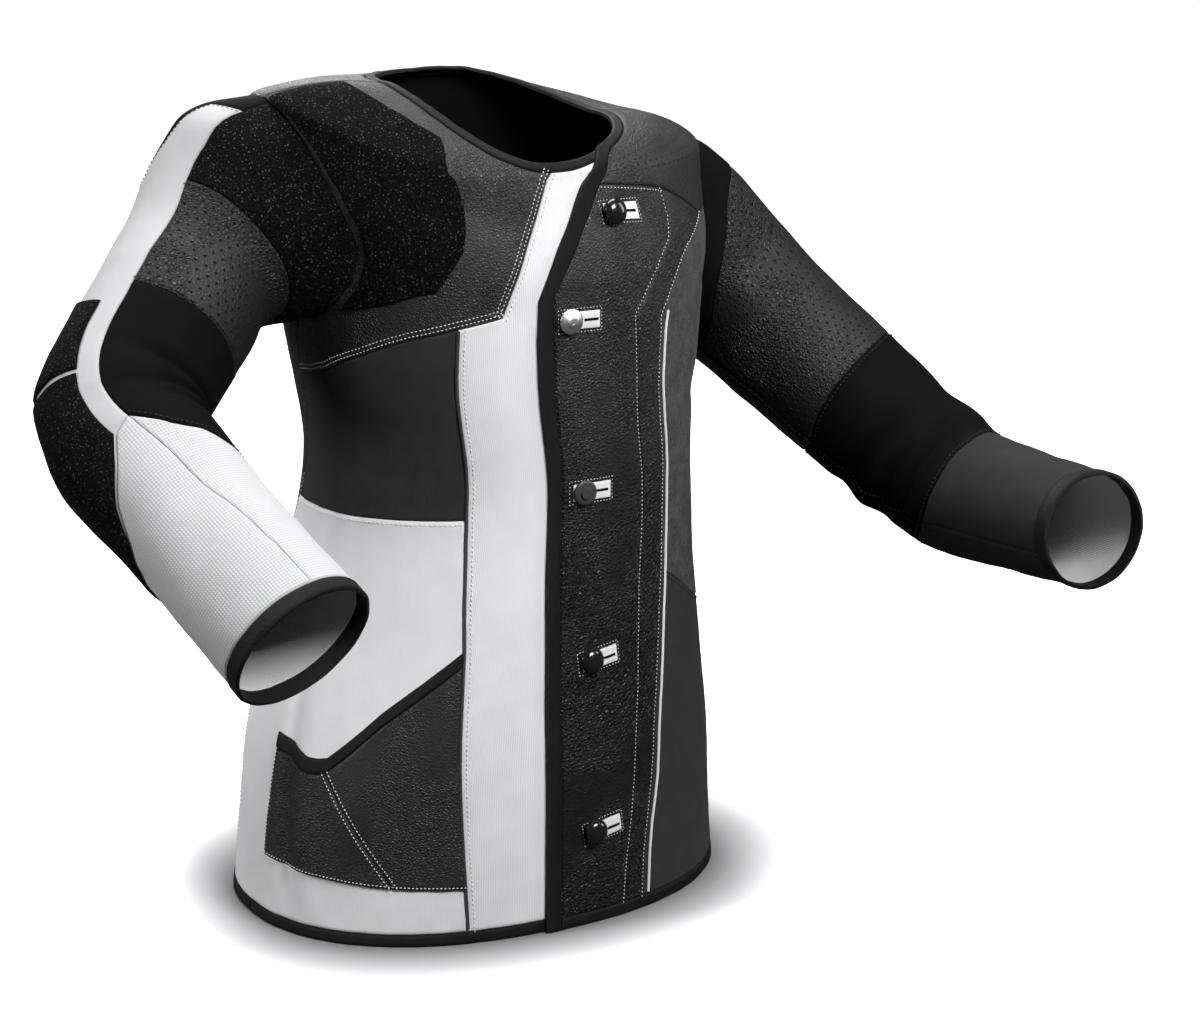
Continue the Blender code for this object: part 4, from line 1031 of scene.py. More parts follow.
# The pocket lies on the right front: two panels and a bound edge above them.
POCKET_RIM = [
    (-1.430, 0.224), (-1.340, 0.220), (-1.200, 0.2085), (-1.100, 0.2080), (-1.056, 0.216),
    (-0.961, 0.234), (-0.823, 0.267), (-0.711, 0.289), (-0.599, 0.311), (-0.472, 0.337),
]
POCKET_BAND = 0.0175
POCKET_LEFT = [(-1.463, 0.080), (-1.430, 0.2065)]
POCKET_RIGHT = [(-0.397, 0.064), (-0.472, 0.3195)]
POCKET_SEAM = [(-0.700, 0.068), (-1.080, 0.1935)]
rim_low = [(a, h - POCKET_BAND) for a, h in POCKET_RIM]
rim_side = line([p for p in rim_low if p[0] < POCKET_SEAM[1][0]] + [POCKET_SEAM[1]], 7)
rim_front = line([POCKET_SEAM[1]] + [p for p in rim_low if p[0] > POCKET_SEAM[1][0]], 8)
diagonal = line(POCKET_SEAM, 6)
pocket_low = [line([POCKET_LEFT[0], POCKET_SEAM[0]], 7), line([POCKET_SEAM[0], POCKET_RIGHT[0]], 8)]
pocket_side = fill(pocket_low[0], rim_side, line(POCKET_LEFT, 6), diagonal)
pocket_front = fill(pocket_low[1], rim_front, diagonal, line(POCKET_RIGHT, 6))
wall("pocket_side", "leather", body, pocket_side, thick=PATCH, lift=LAY + PATCH)
wall("pocket_front", "leather", body, pocket_front, thick=PATCH, lift=LAY + PATCH)
rim = joined(rim_side, rim_front)
rim_band = np.stack([rim, rim + [0.0, POCKET_BAND]], 1)
band_thick = PATCH + 0.0006
wall("pocket_binding", "binding", body, rim_band, thick=band_thick, lift=LAY + band_thick)

# The left front lies over the right one.
inner_rows = joined(
    between(LAP_INNER, 0.0, HEM_BAND, 2),
    between(LAP_INNER, HEM_BAND, 0.745, 15),
    between(LAP_INNER, 0.745, 0.916, 6),
    between(LAP_INNER, 0.916, LAP_SEAM, 8),
    between(LAP_INNER, LAP_SEAM, NECK_EDGE, 3),
)
outer_rows = line_at(LAP_OUTER, inner_rows[:, 1])
edge_grid = fill(*ends(outer_rows, inner_rows, 3), outer_rows, inner_rows)
bound = {"thick": BINDING, "lift": BINDING_LIFT}
wall("left_edge_binding", "binding", body_lap, edge_grid, flat_hem=True, **bound)

band_left = inner_rows[1:21]
band_right = joined(between(BAND_EDGE, HEM_BAND, 0.717, 15), between(BAND_EDGE, 0.717, 0.900, 6))
band_low, band_top = ends(band_left, band_right, 4)
wall("left_front_leather", "front_leather", body_lap, fill(band_low, band_top, band_left, band_right))

strip_right = joined(
    between(STRIP_EDGE, HEM_BAND, 0.400, 8),
    between(STRIP_EDGE, 0.400, 0.713, 8),
    between(STRIP_EDGE, 0.713, 0.864, 6),
)
strip_low, strip_top = ends(band_right, strip_right, 2)
wall("left_front_strip", "front_leather", body_lap, fill(strip_low, strip_top, band_right, strip_right))

side_low_left = strip_right[:8]
side_low_right = between(LEFT_SIDE_SEAM, HEM_BAND, SUEDE_SIDE, 8)
hem_side = line([side_low_left[0], side_low_right[0]], 9)
suede_low = line(SUEDE_LOW, 9)
wall("left_side_fabric", "fabric", body_lap, fill(hem_side, suede_low, side_low_left, side_low_right))

suede_left = strip_right[7:]
suede_right = joined(between(LEFT_SIDE_SEAM, SUEDE_SIDE, ARMPIT_LEFT, 6), left_front_hole[:8])
suede_top = line([suede_left[-1], suede_right[-1]], 9)
wall("left_side_suede", "suede", body_lap, fill(suede_low, suede_top, suede_left, suede_right))

shoulder_low = joined(band_top, strip_top, suede_top)
shoulder_left = inner_rows[20:28]
shoulder_right = joined(left_front_hole[7:], line([left_front_hole[-1], NECK_LEFT], 5))
neck_left = on_neck_seam(line([shoulder_left[-1], shoulder_right[-1]], len(shoulder_low)))
neck_left[0] = shoulder_left[-1]
shoulder_grid = fill(shoulder_low, neck_left, shoulder_left, shoulder_right)
wall("left_shoulder_leather", "shoulder_leather", body_lap, shoulder_grid)
piping_places = between([(a + 0.022, h) for a, h in STRIP_EDGE], 0.018, 0.720, 26)
cord("left_piping", "white_trim", body_lap, piping_places, 0.0012, 0.0012, 0.0005)

# The back: a yoke and two panels that meet down the middle.
back_low_left = line([(LEFT_SIDE, HEM_BAND), (math.pi, HEM_BAND)], 8)
back_side_left = joined(between(LEFT_SIDE_SEAM, HEM_BAND, ARMPIT_LEFT, 13), left_back_hole[:5])
middle = line([(math.pi, HEM_BAND), (math.pi, BACK_YOKE)], len(back_side_left))
back_top_left = line(YOKE_BACK_LOW[:2], 8)
wall("back_left", "leather", body, fill(back_low_left, back_top_left, back_side_left, middle))

round_right = right_back_hole + [2 * math.pi, 0]
back_low_right = line([(math.pi, HEM_BAND), (2 * math.pi + SIDE_SEAM_LOW, HEM_BAND)], 8)
back_side_right = joined(between(RIGHT_BACK_SEAM, HEM_BAND, ARMPIT_RIGHT, 12), round_right[:6])
back_top_right = line(YOKE_BACK_LOW[1:], 8)
wall("back_right", "leather", body, fill(back_low_right, back_top_right, middle, back_side_right))

yoke_back_left = joined(left_back_hole[4:], line([left_back_hole[-1], NECK_LEFT], 4))
yoke_back_right = joined(round_right[5:], line([round_right[-1], NECK_RIGHT + [2 * math.pi, 0]], 4))
yoke_back_low = joined(back_top_left, back_top_right)
neck_back = on_neck_seam(line([yoke_back_left[-1], yoke_back_right[-1]], len(yoke_back_low)))
wall("back_yoke", "leather", body, fill(yoke_back_low, neck_back, yoke_back_left, yoke_back_right))

# Bound edges round the neck and the hem.
turn_on = [2 * math.pi, 0]
round_neck = joined(neck_left, neck_back, neck_right + turn_on, placket_top[:5] + turn_on)
neck_rim = np.stack([round_neck[:, 0], np.full(len(round_neck), NECK_EDGE)], -1)
neck_rim[0] = inner_rows[-1]
neck_middle = (round_neck + neck_rim) / 2
neck_middle[0] = inner_rows[-2]
neck_grid = np.stack([round_neck, neck_middle, neck_rim], 1)
wall("neck_binding", "binding", body_lap, neck_grid, gap=SEAM_GAP, **bound)

HEM_BINDINGS = [
    # name, surface, start, end, places along it
    ("hem_binding_right", body, HEM_MEET, UNDERLAP[0][0], 14),
    ("hem_binding_left", body_lap, LAP_INNER[0][0], LEFT_SIDE, 13),
    ("hem_binding_back_left", body, LEFT_SIDE, math.pi, 12),
    ("hem_binding_back_right", body, math.pi, 2 * math.pi + HEM_MEET, 12),
]
for name, surface, start, end, count in HEM_BINDINGS:
    low, high = (line([(start, h), (end, h)], count) for h in (0.0, HEM_BAND))
    left, right = (line([(a, 0.0), (a, HEM_BAND)], 2) for a in (start, end))
    grid = fill(low, high, left, right)
    wall(name, "binding", surface, grid, drop=BINDING_DROP, flat_hem=True, **bound)

# Seams along the right sleeve: the front one leans over below the elbow.
RIGHT_LEAN = [
    (0.0, 15), (0.05, 22), (0.10, 16), (0.16, 10), (0.24, 8), (0.50, 8),
    (0.615, 20), (0.657, 23), (0.733, 27), (0.780, 32), (0.844, 37), (1.0, 41),
]
CUFF_SEAM = 0.972


def right_places(columns, fractions):
    """Places on the right sleeve for columns and rows of fractions, turned to follow its front seam."""
    fractions = np.array(fractions, float)
    seam = np.interp(fractions, [f for f, _ in RIGHT_LEAN], [a for _, a in RIGHT_LEAN])
    base = np.array([RIGHT_COLUMNS[c % 20] + (360 if c == 20 else 0) for c in columns], float)[:, None]
    front = RIGHT_START + (seam - RIGHT_START) * (base - RIGHT_START) / (RIGHT_SEAM - RIGHT_START)
    behind = seam + (RIGHT_END - seam) * (base - RIGHT_SEAM) / (RIGHT_END - RIGHT_SEAM)
    angle = np.where(base <= RIGHT_SEAM, front, behind)
    return np.stack([np.radians(angle), 1 - fractions], -1)[:, ::-1]


def left_places(columns, fractions):
    fractions = np.array(fractions, float)
    angle = np.radians(np.array([LEFT_COLUMNS[c] for c in columns], float))[:, None] + 0 * fractions
    return np.stack([angle, fractions], -1)


def rows_between(edges, parts):
    """Rows for every column between edges, each edge a list with one fraction a column."""
    rows = []
    for k, count in enumerate(parts):
        t = np.linspace(0, 1, count + 1)[None, :]
        low, high = (np.array(edge, float)[:, None] for edge in edges[k : k + 2])
        rows.append((low * (1 - t) + high * t)[:, (0 if k == 0 else 1) :])
    return np.concatenate(rows, axis=1)


def seam_at(points, columns, names):
    """A seam across a sleeve, given as degrees and fractions, read off at columns."""
    angles = [a for a, _ in points]
    return np.interp([columns[c] for c in names], angles, [f for _, f in points])


# Rows across the right sleeve, as degrees and fractions. Its pieces share them, so that their edges agree.
RIGHT_ROWS = {
    "armhole": [(-108, 0.0), (252, 0.0)],
    "strip_top": [
        (-108, 0.125), (-45, 0.120), (-29, 0.110), (-17, 0.044), (8, 0.024), (200, 0.050), (252, 0.125),
    ],
    "head_end": [
        (-108, 0.160), (-8, 0.138), (8, 0.132), (46, 0.121), (83, 0.115), (121, 0.108),
        (200, 0.118), (252, 0.160),
    ],
    "leather_end": [(-108, 0.318), (-44, 0.337), (-10, 0.365), (8, 0.318), (252, 0.318)],
    "elbow": [(-108, 0.455), (-57, 0.462), (-16, 0.472), (8, 0.480), (252, 0.455)],
    "elbow_end": [
        (-108, 0.780), (-62, 0.727), (-49, 0.677), (-28, 0.637), (-8, 0.585), (8, 0.570),
        (21, 0.610), (34, 0.621), (50, 0.639), (62, 0.657), (79, 0.679), (110, 0.692),
        (200, 0.735), (252, 0.780),
    ],
    "cuff": [(-108, CUFF_SEAM), (252, CUFF_SEAM)],
}
ROW_PARTS = {"strip_top": 2, "head_end": 2, "leather_end": 3, "elbow": 2, "elbow_end": 4, "cuff": 5}
OUTER = list(range(0, 8))
UNDER_PADS = list(range(0, 7))
INNER = list(range(7, 21))


def right_seam(edge, columns):
    """The fractions of a named row at columns, the last of which closes the sleeve."""
    values = seam_at(RIGHT_ROWS[edge], RIGHT_COLUMNS, columns)
    if columns[-1] == 20:
        values[-1] = RIGHT_ROWS[edge][-1][1]
    return values


def right_piece(name, colour, columns, edges, shrink=0.0, **options):
    """A piece of the right sleeve between named rows. One that lies on another is shrunk at its ends."""
    values = [right_seam(edge, columns) for edge in edges]
    rows = rows_between(values, [ROW_PARTS[edge] for edge in edges[1:]])
    rows[:, 0] += shrink
    rows[:, -1] -= shrink
    wall(name, colour, right_face, right_places(columns, rows), **options)


white_rows = ["strip_top", "head_end", "leather_end", "elbow", "elbow_end"]
forearm = ["elbow_end", "cuff"]
pad = {"shrink": 0.003, "thick": PATCH, "lift": LAY + PATCH, "gap": 0.0005}
right_piece("right_head_strip", "stretch", OUTER, ["armhole", "strip_top"])
right_piece("right_sleeve_white", "sleeve_canvas", OUTER, white_rows)
right_piece("right_forearm_outer", "white_weave", OUTER, forearm, gap=0.00022, inside="grey_inside")
right_piece("right_head_grip", "grip", INNER, ["armhole", "strip_top", "head_end"])
right_piece("right_upper_leather", "perforated", INNER, ["head_end", "leather_end"])
right_piece("right_elbow_stretch", "stretch", INNER, ["leather_end", "elbow", "elbow_end"])
right_piece("right_forearm_inner", "white_weave", INNER, forearm, inside="grey_inside")
right_piece("right_elbow_pad_upper", "grip", UNDER_PADS, ["leather_end", "elbow"], **pad)
right_piece("right_elbow_pad_lower", "grip", UNDER_PADS, ["elbow", "elbow_end"], **pad)

LEFT_HEAD_END = [(-36, 0.075), (18, 0.062), (54, 0.051), (108, 0.050), (180, 0.060), (324, 0.075)]
LEFT_LEATHER_END = [
    (-36, 0.320), (17, 0.323), (59, 0.331), (108, 0.337), (140, 0.347), (162, 0.365), (324, 0.320),
]
LEFT_ELBOW_END = [
    (-36, 0.620), (21, 0.635), (33, 0.643), (63, 0.690), (115, 0.693), (141, 0.675), (173, 0.629),
    (192, 0.603), (324, 0.620),
]
LEFT_ROWS = [LEFT_HEAD_END, LEFT_LEATHER_END, LEFT_ELBOW_END]
LEFT_FRONT = list(range(0, 12))
LEFT_BACK = list(range(11, 21))
LEFT_PIECES = [
    # name, look, parts between its two rows, options
    ("left_gusset_", "stretch", 2, {}),
    ("left_upper_leather_", "perforated", 4, {}),
    ("left_elbow_stretch_", "stretch", 5, {}),
    ("left_forearm_", "forearm_cloth", 4, {"inside": "grey_inside"}),
]
for half, columns in (("front", LEFT_FRONT), ("back", LEFT_BACK)):
    seams = [seam_at(points, LEFT_COLUMNS, columns) for points in LEFT_ROWS]
    seams = [np.zeros(len(columns)), *seams, np.full(len(columns), CUFF_SEAM)]
    for k, (name, look, parts, options) in enumerate(LEFT_PIECES):
        places = left_places(columns, rows_between(seams[k : k + 2], [parts]))
        wall(name + half, look, left_face, places, **options)

for side, surface, places in (("right", right_face, right_places), ("left", left_face, left_places)):
    grid = places(list(range(21)), np.tile([CUFF_SEAM + 0.001, 1.0], (21, 1)))
    options = {"closed": True, "inside": "binding", "drop": BINDING_DROP, **bound}
    wall(side + "_cuff_binding", "binding", surface, grid, **options)


# Stitching. Each row is a line on the cloth that a small tree of nodes turns into single stitches.
def stitch_tree():
    tree = bpy.data.node_groups.new("Stitch rows", "GeometryNodeTree")
    face = tree.interface
    face.new_socket("Geometry", in_out="INPUT", socket_type="NodeSocketGeometry")
    for name, value in (("Pitch", 0.0036), ("Stitch length", 0.0026), ("Thread radius", 0.00042)):
        face.new_socket(name, in_out="INPUT", socket_type="NodeSocketFloat").default_value = value
    face.new_socket("Thread", in_out="INPUT", socket_type="NodeSocketMaterial")
    face.new_socket("Geometry", in_out="OUTPUT", socket_type="NodeSocketGeometry")

    def node(kind, inputs=None, settings=None):
        made = tree.nodes.new(kind)
        for name, value in (settings or {}).items():
            setattr(made, name, value)
        for name, value in (inputs or {}).items():
            if isinstance(value, bpy.types.NodeSocket):
                tree.links.new(value, made.inputs[name])
            else:
                made.inputs[name].default_value = value
        return made

    given = node("NodeGroupInput")
    curve = node("GeometryNodeMeshToCurve", {"Mesh": given.outputs["Geometry"]})
    even = node(
        "GeometryNodeResampleCurve",
        {"Curve": curve.outputs[0], "Length": given.outputs["Pitch"]},
        {"mode": "LENGTH"},
    )
    tangent = node("GeometryNodeInputTangent")
    turn = node("FunctionNodeAlignRotationToVector", {"Vector": tangent.outputs[0]}, {"axis": "X"})
    half = node("ShaderNodeMath", {0: given.outputs["Stitch length"], 1: 0.5}, {"operation": "MULTIPLY"})
    size = node(
        "ShaderNodeCombineXYZ",
        {"X": half.outputs[0], "Y": given.outputs["Thread radius"], "Z": given.outputs["Thread radius"]},
    )
    bead = node("GeometryNodeMeshIcoSphere", {"Radius": 1.0, "Subdivisions": 1})
    shaped = node("GeometryNodeTransform", {"Geometry": bead.outputs["Mesh"], "Scale": size.outputs[0]})
    smooth = node("GeometryNodeSetShadeSmooth", {"Geometry": shaped.outputs[0]})
    placed = node(
        "GeometryNodeInstanceOnPoints",
        {"Points": even.outputs[0], "Instance": smooth.outputs[0], "Rotation": turn.outputs[0]},
    )
    real = node("GeometryNodeRealizeInstances", {"Geometry": placed.outputs[0]})
    coloured = node(
        "GeometryNodeSetMaterial", {"Geometry": real.outputs[0], "Material": given.outputs["Thread"]}
    )
    result = node("NodeGroupOutput")
    tree.links.new(coloured.outputs[0], result.inputs["Geometry"])
    return tree


STITCHES = stitch_tree()


def stitch_rows(name, thread, rows, pitch=0.0036, long=0.0026, radius=0.00042):
    """One object of single stitches along rows of points."""
    mesh = bpy.data.meshes.new(name)
    points = np.concatenate(rows) + SHIFT
    edges = []
    start = 0
    for row in rows:
        edges += [(start + k, start + k + 1) for k in range(len(row) - 1)]
        start += len(row)
    mesh.from_pydata(points.tolist(), edges, [])
    line_of = placed(name + "_line", mesh)
    added = line_of.modifiers.new("Stitches", "NODES")
    added.node_group = STITCHES
    values = {"Pitch": pitch, "Stitch length": long, "Thread radius": radius, "Thread": material(thread)}
    for item in STITCHES.interface.items_tree:
        if item.in_out == "INPUT" and item.name in values:
            added[item.identifier] = values[item.name]
    graph = bpy.context.evaluated_depsgraph_get()
    made = bpy.data.meshes.new_from_object(line_of.evaluated_get(graph))
    made.name = name
    bpy.data.objects.remove(line_of)
    sewn = placed(name, made)
    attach(sewn, "root")


ON_PANEL = 0.00026  # how far a thread's middle stands above its cloth
ON_PATCH = LAY + PATCH + ON_PANEL
FIRST_ROW = 0.0030  # from a seam to the first row of stitches, and to a second one
SECOND_ROW = 0.0062
SLEEVE_ROW = 0.0028  # from a sleeve's seam to its stitches


def row(surface, places, aside, lift=ON_PANEL):
    return ride_line(surface, np.array(places, float), aside, lift)[0]


yoke_front = line(YOKE_FRONT, 60)
double = [joined(yoke_seam, yoke_corner), yoke_front, back_top_left, back_top_right]
light = [row(body, places, -aside) for places in double for aside in (FIRST_ROW, SECOND_ROW)]
light += [
    row(body, middle, -FIRST_ROW),
    row(body, middle, FIRST_ROW),
    row(body, diagonal, -0.0022, ON_PATCH),
    row(body, diagonal, 0.0028, ON_PATCH),
    row(body, line([POCKET_LEFT[0], POCKET_SEAM[0], POCKET_RIGHT[0]], 40), -0.0024, ON_PATCH),
    row(body, line(POCKET_LEFT, 30), 0.0022, ON_PATCH),
]
stitch_rows("light_stitching", "light_thread", light, 0.0030, 0.0019, 0.00048)
small = [(band_right, -0.0020), (strip_right, -0.0020), (band_top, 0.0026)]
small = [row(body_lap, places, aside) for places, aside in small]
stitch_rows("small_stitching", "light_thread", small, 0.0031, 0.0018, 0.00046)

white = [
    row(body, joined(piping_low, piping_mid), 0.0050),
    row(body, canvas_top, FIRST_ROW),
    row(body, yoke_front, FIRST_ROW),
    row(body, line(RIGHT_SIDE_SEAM, 60)[4:-16], FIRST_ROW),
]
stitch_rows("white_stitching", "white_thread", white)


def right_row(edge, columns, aside):
    """A row of stitches beside a seam that runs round the right sleeve."""
    places = right_places(columns, right_seam(edge, columns)[:, None])[:, 0]
    return row(right_face, places, aside)


def left_row(points, columns, aside):
    """A row of stitches beside a seam that runs round the left sleeve."""
    places = left_places(columns, seam_at(points, LEFT_COLUMNS, columns)[:, None])[:, 0]
    return row(left_face, places, aside)


dark = [
    right_row("strip_top", OUTER, SLEEVE_ROW),
    right_row("head_end", INNER, SLEEVE_ROW),
    right_row("leather_end", INNER, -SLEEVE_ROW),
    right_row("elbow_end", INNER, -SLEEVE_ROW),
    left_row(LEFT_LEATHER_END, LEFT_FRONT, -SLEEVE_ROW),
    left_row(LEFT_LEATHER_END, LEFT_BACK, -SLEEVE_ROW),
    left_row(LEFT_ELBOW_END, LEFT_FRONT, SLEEVE_ROW),
    left_row(LEFT_ELBOW_END, LEFT_BACK, SLEEVE_ROW),
    row(left_face, left_places([11], np.linspace(0.10, 0.96, 60)[None])[0], 0.0026),
    row(body_lap, inner_rows, 0.0016, ON_PANEL + BINDING_LIFT * 0.4),
    row(body_lap, suede_low, 0.0028),
]
stitch_rows("dark_stitching", "dark_thread", dark)

# Buttons, each on a stitched white tab with its slot.
BUTTONS = [
    # name, angle, height, radius, tall, lean, kind
    ("button_top", 0.237, 0.870, 0.0098, 0.0070, 0.0, "dome"),
    ("button_second", -0.004, 0.717, 0.0095, 0.0042, 0.0, "cone"),
    ("button_middle", 0.021, 0.513, 0.0095, 0.0040, 0.0, "disc"),
    ("button_fourth", 0.073, 0.313, 0.0098, 0.0070, 8.0, "dome"),
    ("button_low", 0.090, 0.110, 0.0098, 0.0070, 8.0, "dome"),
]
KIND_LOOKS = {
    # kind: look, slot
    "dome": ("black_gloss", "black_gloss"),
    "disc": ("dark_disc", "black_gloss"),
    "cone": ("metal", "metal"),
}
TAB_TALL = 0.0012  # thickness of a tab
TAB_MIDDLE = 0.045  # from a button's middle to its tab's, as an angle round the body
SLOT_MIDDLE = 0.082  # from a button's middle to its slot's
TAB_HALF = (0.0155, 0.0065)  # half the width and height of a tab, its slot and its frame of stitches
SLOT_HALF = (0.0060, 0.0010)
FRAME_HALF = (0.0180, 0.0087)
SLOT_FACES = (0.00018, -0.0003)  # the slot's outer and inner face, from the tab's
BUTTON_GAP = 0.0006  # space between a tab and its button
OUTLINES = {
    # The outline of each kind: distance out and height, both as a part of the button's size.
    "dome": [
        (0.0, 0.0), (0.90, 0.0), (0.99, 0.06), (1.0, 0.16), (1.0, 0.30), (0.985, 0.36), (0.93, 0.50),
        (0.84, 0.66), (0.72, 0.79), (0.56, 0.90), (0.38, 0.965), (0.20, 0.995), (0.0, 1.0),
    ],
    "disc": [
        (0.0, 0.0), (0.90, 0.0), (0.99, 0.08), (1.0, 0.22), (0.985, 0.42), (0.93, 0.55), (0.70, 0.60),
        (0.52, 0.60), (0.50, 0.72), (0.47, 0.96), (0.42, 1.0), (0.20, 1.0), (0.0, 1.0),
    ],
    "cone": [
        (0.0, 0.0), (0.92, 0.0), (1.0, 0.08), (1.0, 0.20), (0.97, 0.30), (0.72, 0.48), (0.50, 0.66),
        (0.40, 0.78), (0.385, 0.96), (0.34, 1.0), (0.16, 1.0), (0.13, 0.90), (0.0, 0.90),
    ],
}
TURNS = 40


def lathe(name, colour, base, axes, radius, tall, outline):
    """A turned shape with four-sided faces, closed at its axis."""
    side, up, out = axes
    turns = np.arange(TURNS) * 2 * math.pi / TURNS
    ring = side * np.cos(turns)[:, None] + up * np.sin(turns)[:, None]
    inner = [(r, z) for r, z in outline if r > 0]
    points = np.concatenate([base + out * tall * z + ring * radius * r for r, z in inner])
    quads = []
    for k in range(len(inner) - 1):
        for j in range(TURNS):
            q = (j + 1) % TURNS
            low = k * TURNS
            quads.append((low + j, low + q, low + TURNS + q, low + TURNS + j))
    last = (len(inner) - 1) * TURNS
    for j in range(1, TURNS - 1, 2):
        quads.append((0, j + 2 if j + 2 < TURNS else 0, j + 1, j))
        quads.append((last, last + j, last + j + 1, last + (j + 2 if j + 2 < TURNS else 0)))
    quads = np.array([q for q in quads if len(set(q)) == 4])
    places = np.stack([quads % TURNS, quads // TURNS], -1) * 0.001
    return mesh_from(name, points, quads, places, [colour])


def tab_block(angle, height, lean, half, parts):
    """A grid of places on the left front, of a small block turned by lean, in degrees."""
    small = 0.01
    across = np.linalg.norm(body_lap(angle + small, height) - body_lap(angle - small, height)) / (2 * small)
    upward = np.linalg.norm(body_lap(angle, height + small) - body_lap(angle, height - small)) / (2 * small)
    u = np.linspace(-half[0], half[0], parts[0])[:, None]
    w = np.linspace(-half[1], half[1], parts[1])[None]
    cos = math.cos(math.radians(lean))
    sin = math.sin(math.radians(lean))
    x = u * cos - w * sin
    y = u * sin + w * cos
    return np.stack([angle + x / across, height + y / upward], -1)


frames = []
for name, angle, height, radius, tall, lean, kind in BUTTONS:
    tab = tab_block(angle + TAB_MIDDLE, height, lean, TAB_HALF, (4, 2))
    wall(
        name + "_patch", "white_trim", body_lap, tab, thick=TAB_TALL, lift=LAY + TAB_TALL, gap=0.0001,
        drop=0.0004, pucker=0.0, inside="white_trim",
    )
    at = np.array([angle]), np.array([height])
    centre = body_lap(*at)[0]
    out = normals(body_lap, *at)[0]
    stand = body_relief(*at, centre[None])[0]
    side = unit(np.cross(out, (0, 0, 1)))
    base = centre + out * (LAY + TAB_TALL + BUTTON_GAP + stand)
    look, slot = KIND_LOOKS[kind]
    made = lathe(name, look, base, (side, np.cross(side, out), out), radius, tall, OUTLINES[kind])
    PIECES.append((made, name, slot))
    around = tab_block(angle + TAB_MIDDLE, height, lean, FRAME_HALF, (30, 20))
    loop = np.concatenate([around[:, 0], around[-1, 1:], around[::-1, -1][1:], around[0, ::-1][1:]])
    frames.append(row(body_lap, loop, 0.0))
stitch_rows("button_stitching", "light_thread", frames, 0.0027, 0.0015, 0.00038)

# Each slot is a thin black sheet laid on its tab: painted shade for the slot's opening.
for name, angle, height, _, _, lean, _ in BUTTONS:
    places = tab_block(angle + SLOT_MIDDLE, height, lean, SLOT_HALF, (6, 2))
    grid = refined(body_lap, places, False)
    face = body_lap(grid[..., 0], grid[..., 1])
    out = normals(body_lap, grid[..., 0], grid[..., 1])
    stand = relief(body_lap, grid, face)
    outer, inner = (face + out * (LAY + TAB_TALL + lift + stand)[..., None] for lift in SLOT_FACES)
    made = shell(name + "_slot", ["black_inside"], body_lap, grid, outer, inner)
    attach(made, "root")

# Each panel takes its frame node's place.
for made, name, colour in PIECES:
    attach(made, "root")
    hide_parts(name)
for name, made, look, wide, long, area in SHEETS:
    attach(made, "root")
    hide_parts(name)
    area = min(area, wide * long)

# The floor, with a backdrop at its far sides. It glows evenly white away from the jacket; close to the hem
# its glow and colour fall off, as a painted contact shadow.
FLOOR = 16.0  # half of the floor's side
BACKDROP = 12.0
near_hem = np.linspace(-0.75, 0.75, 151)
floor_lines = np.concatenate([[-FLOOR, -FLOOR, -4.0, -1.5], near_hem, [1.5, 4.0, FLOOR, FLOOR]])
floor_grid = np.stack(np.meshgrid(floor_lines, floor_lines, indexing="ij"), -1)
hem = body(np.linspace(0, 2 * math.pi, 361), np.zeros(361))[:, :2] + SHIFT[:2]
hem_middle = hem.mean(0)


def bearing_and_reach(places):
    """The direction and the distance of places on the floor from the middle of the hem."""
    away = places - hem_middle
    return np.arctan2(away[..., 1], away[..., 0]), np.linalg.norm(away, axis=-1)


hem_bearing, hem_reach = bearing_and_reach(hem)
order = np.argsort(hem_bearing)
bearing, reach = bearing_and_reach(floor_grid)
to_hem = np.interp(bearing, hem_bearing[order], hem_reach[order], period=2 * math.pi)
from_hem = [[np.linalg.norm(hem - place, axis=1).min() for place in places] for places in floor_grid]
from_hem = np.where(reach < to_hem, 0.0, from_hem)
count = len(floor_lines)
corner = np.arange(count * count).reshape(count, count)
floor_faces = np.stack([corner[:-1, :-1], corner[1:, :-1], corner[1:, 1:], corner[:-1, 1:]], -1)
raised = np.zeros((count, count, 1))
raised[[0, -1]] = BACKDROP
raised[:, [0, -1]] = BACKDROP
floor_points = np.concatenate([floor_grid, raised], -1).reshape(-1, 3)
floor_mesh = bpy.data.meshes.new("floor")
floor_mesh.from_pydata(floor_points.tolist(), [], floor_faces.reshape(-1, 4).tolist())
shade = floor_mesh.attributes.new("edge", "FLOAT", "POINT")
shade.data.foreach_set("value", from_hem.astype(np.float32).ravel())
floor = placed("floor", floor_mesh)
pale = Look("pale_floor")
# Painted contact shadow: the floor's glow dies away close to the hem.
floor_glow_with_painted_shadow = pale.ramp(pale.edge, 0.025, 0.150, 0.0, 1.0)
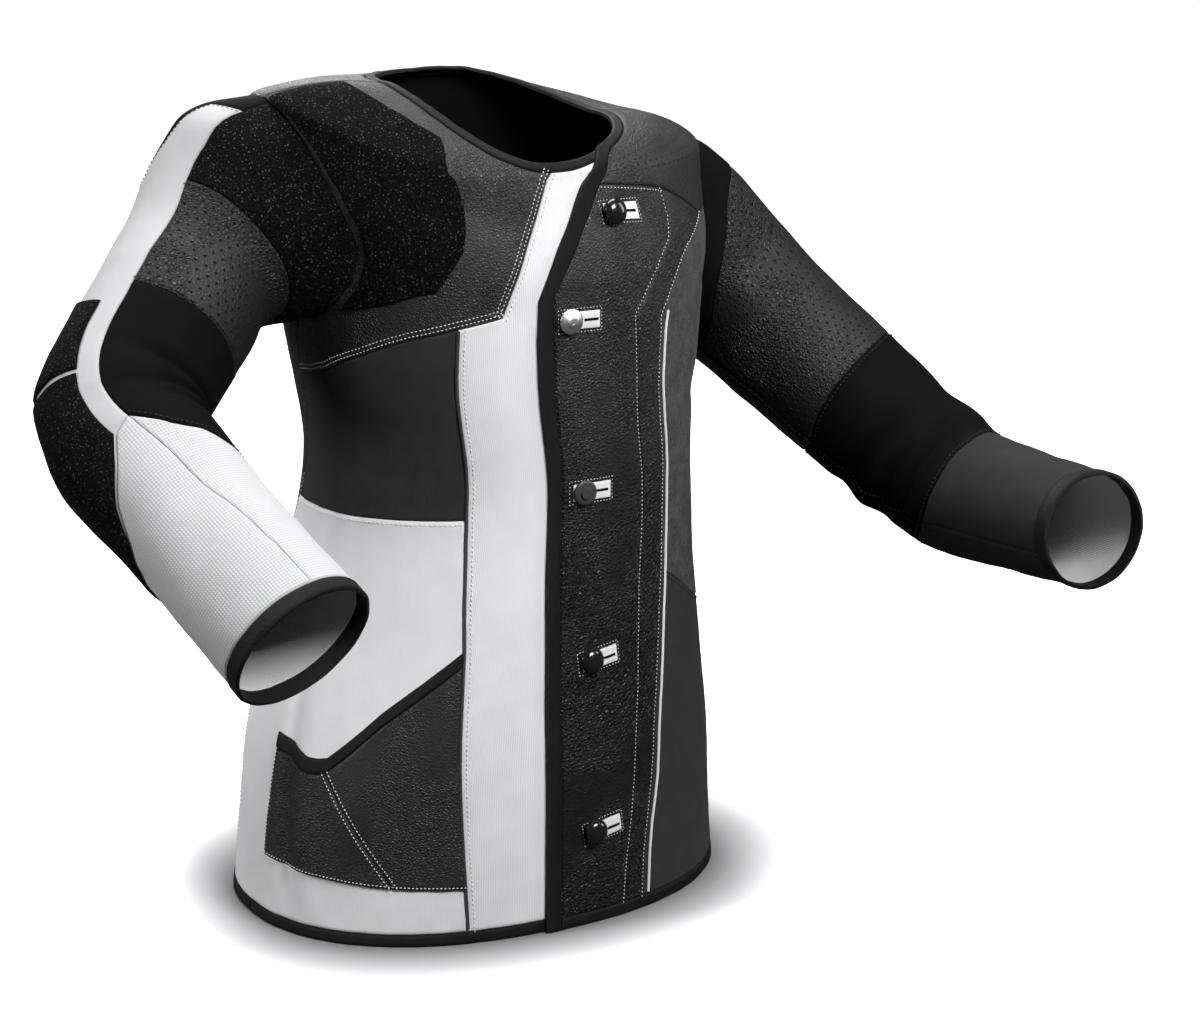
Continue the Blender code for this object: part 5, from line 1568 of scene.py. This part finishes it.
put(pale.tree, pale.shader.inputs["Emission Color"], pale.grey(floor_glow_with_painted_shadow))
pale.shader.inputs["Emission Strength"].default_value = 1.0
# Painted contact shadow: the floor's colour is darker close to the hem.
floor_tone_with_painted_shadow = 0.05 + pale.ramp(pale.edge, -0.03, 0.090, 0.0, 0.85)
floor_mesh.materials.append(pale.done(floor_tone_with_painted_shadow, 0.9, specular=0.1))
floor.visible_diffuse = False
floor.visible_glossy = False

LIGHTS = [
    # name, place, target, width, height, watts
    ("key softbox", (0.3, -1.7, 1.9), (0.0, 0.0, 0.40), 1.0, 0.8, 70.0),
    ("overhead", (0.0, 0.6, 2.2), (0.0, 0.0, 0.40), 1.6, 0.9, 44.0),
    ("left softbox", (-2.1, 0.4, 1.1), (0.0, 0.0, 0.35), 0.4, 1.3, 27.0),
    ("right softbox", (2.0, -1.0, 1.3), (0.15, -0.1, 0.40), 0.5, 1.4, 16.0),
    ("back softbox", (0.6, 2.4, 1.4), (0.0, 0.0, 0.35), 1.2, 1.2, 26.0),
]
for name, place, target, wide, high, watts in LIGHTS:
    lamp = bpy.data.lights.new(name, "AREA")
    lamp.shape = "RECTANGLE"
    lamp.size = wide
    lamp.size_y = high
    lamp.energy = watts
    lit = placed(name, lamp)
    lit.location = place
    facing = Vector(target) - Vector(place)
    lit.rotation_euler = facing.to_track_quat("-Z", "Y").to_euler()

world = bpy.data.worlds.new("studio")
world.use_nodes = True
sky = world.node_tree.nodes["Background"].inputs
sky["Color"].default_value = (1, 1, 1, 1)
sky["Strength"].default_value = 0.07
bpy.context.scene.world = world
bpy.context.scene.view_settings.view_transform = "Standard"

CAMERA_PLACE = [-0.97523743, -1.88937374, 0.872]
CAMERA_TURN = math.radians(30.0)
CAMERA_DIP = math.radians(15.2)
camera_data = bpy.data.cameras.new("camera")
camera_data.lens = 85.0
camera_data.sensor_width = 36.0
camera_data.clip_end = 60.0
camera = placed("camera", camera_data)
camera.location = np.array(CAMERA_PLACE) + SHIFT
camera.rotation_euler = (math.pi / 2 - CAMERA_DIP, 0.0, -CAMERA_TURN)
bpy.context.scene.camera = camera
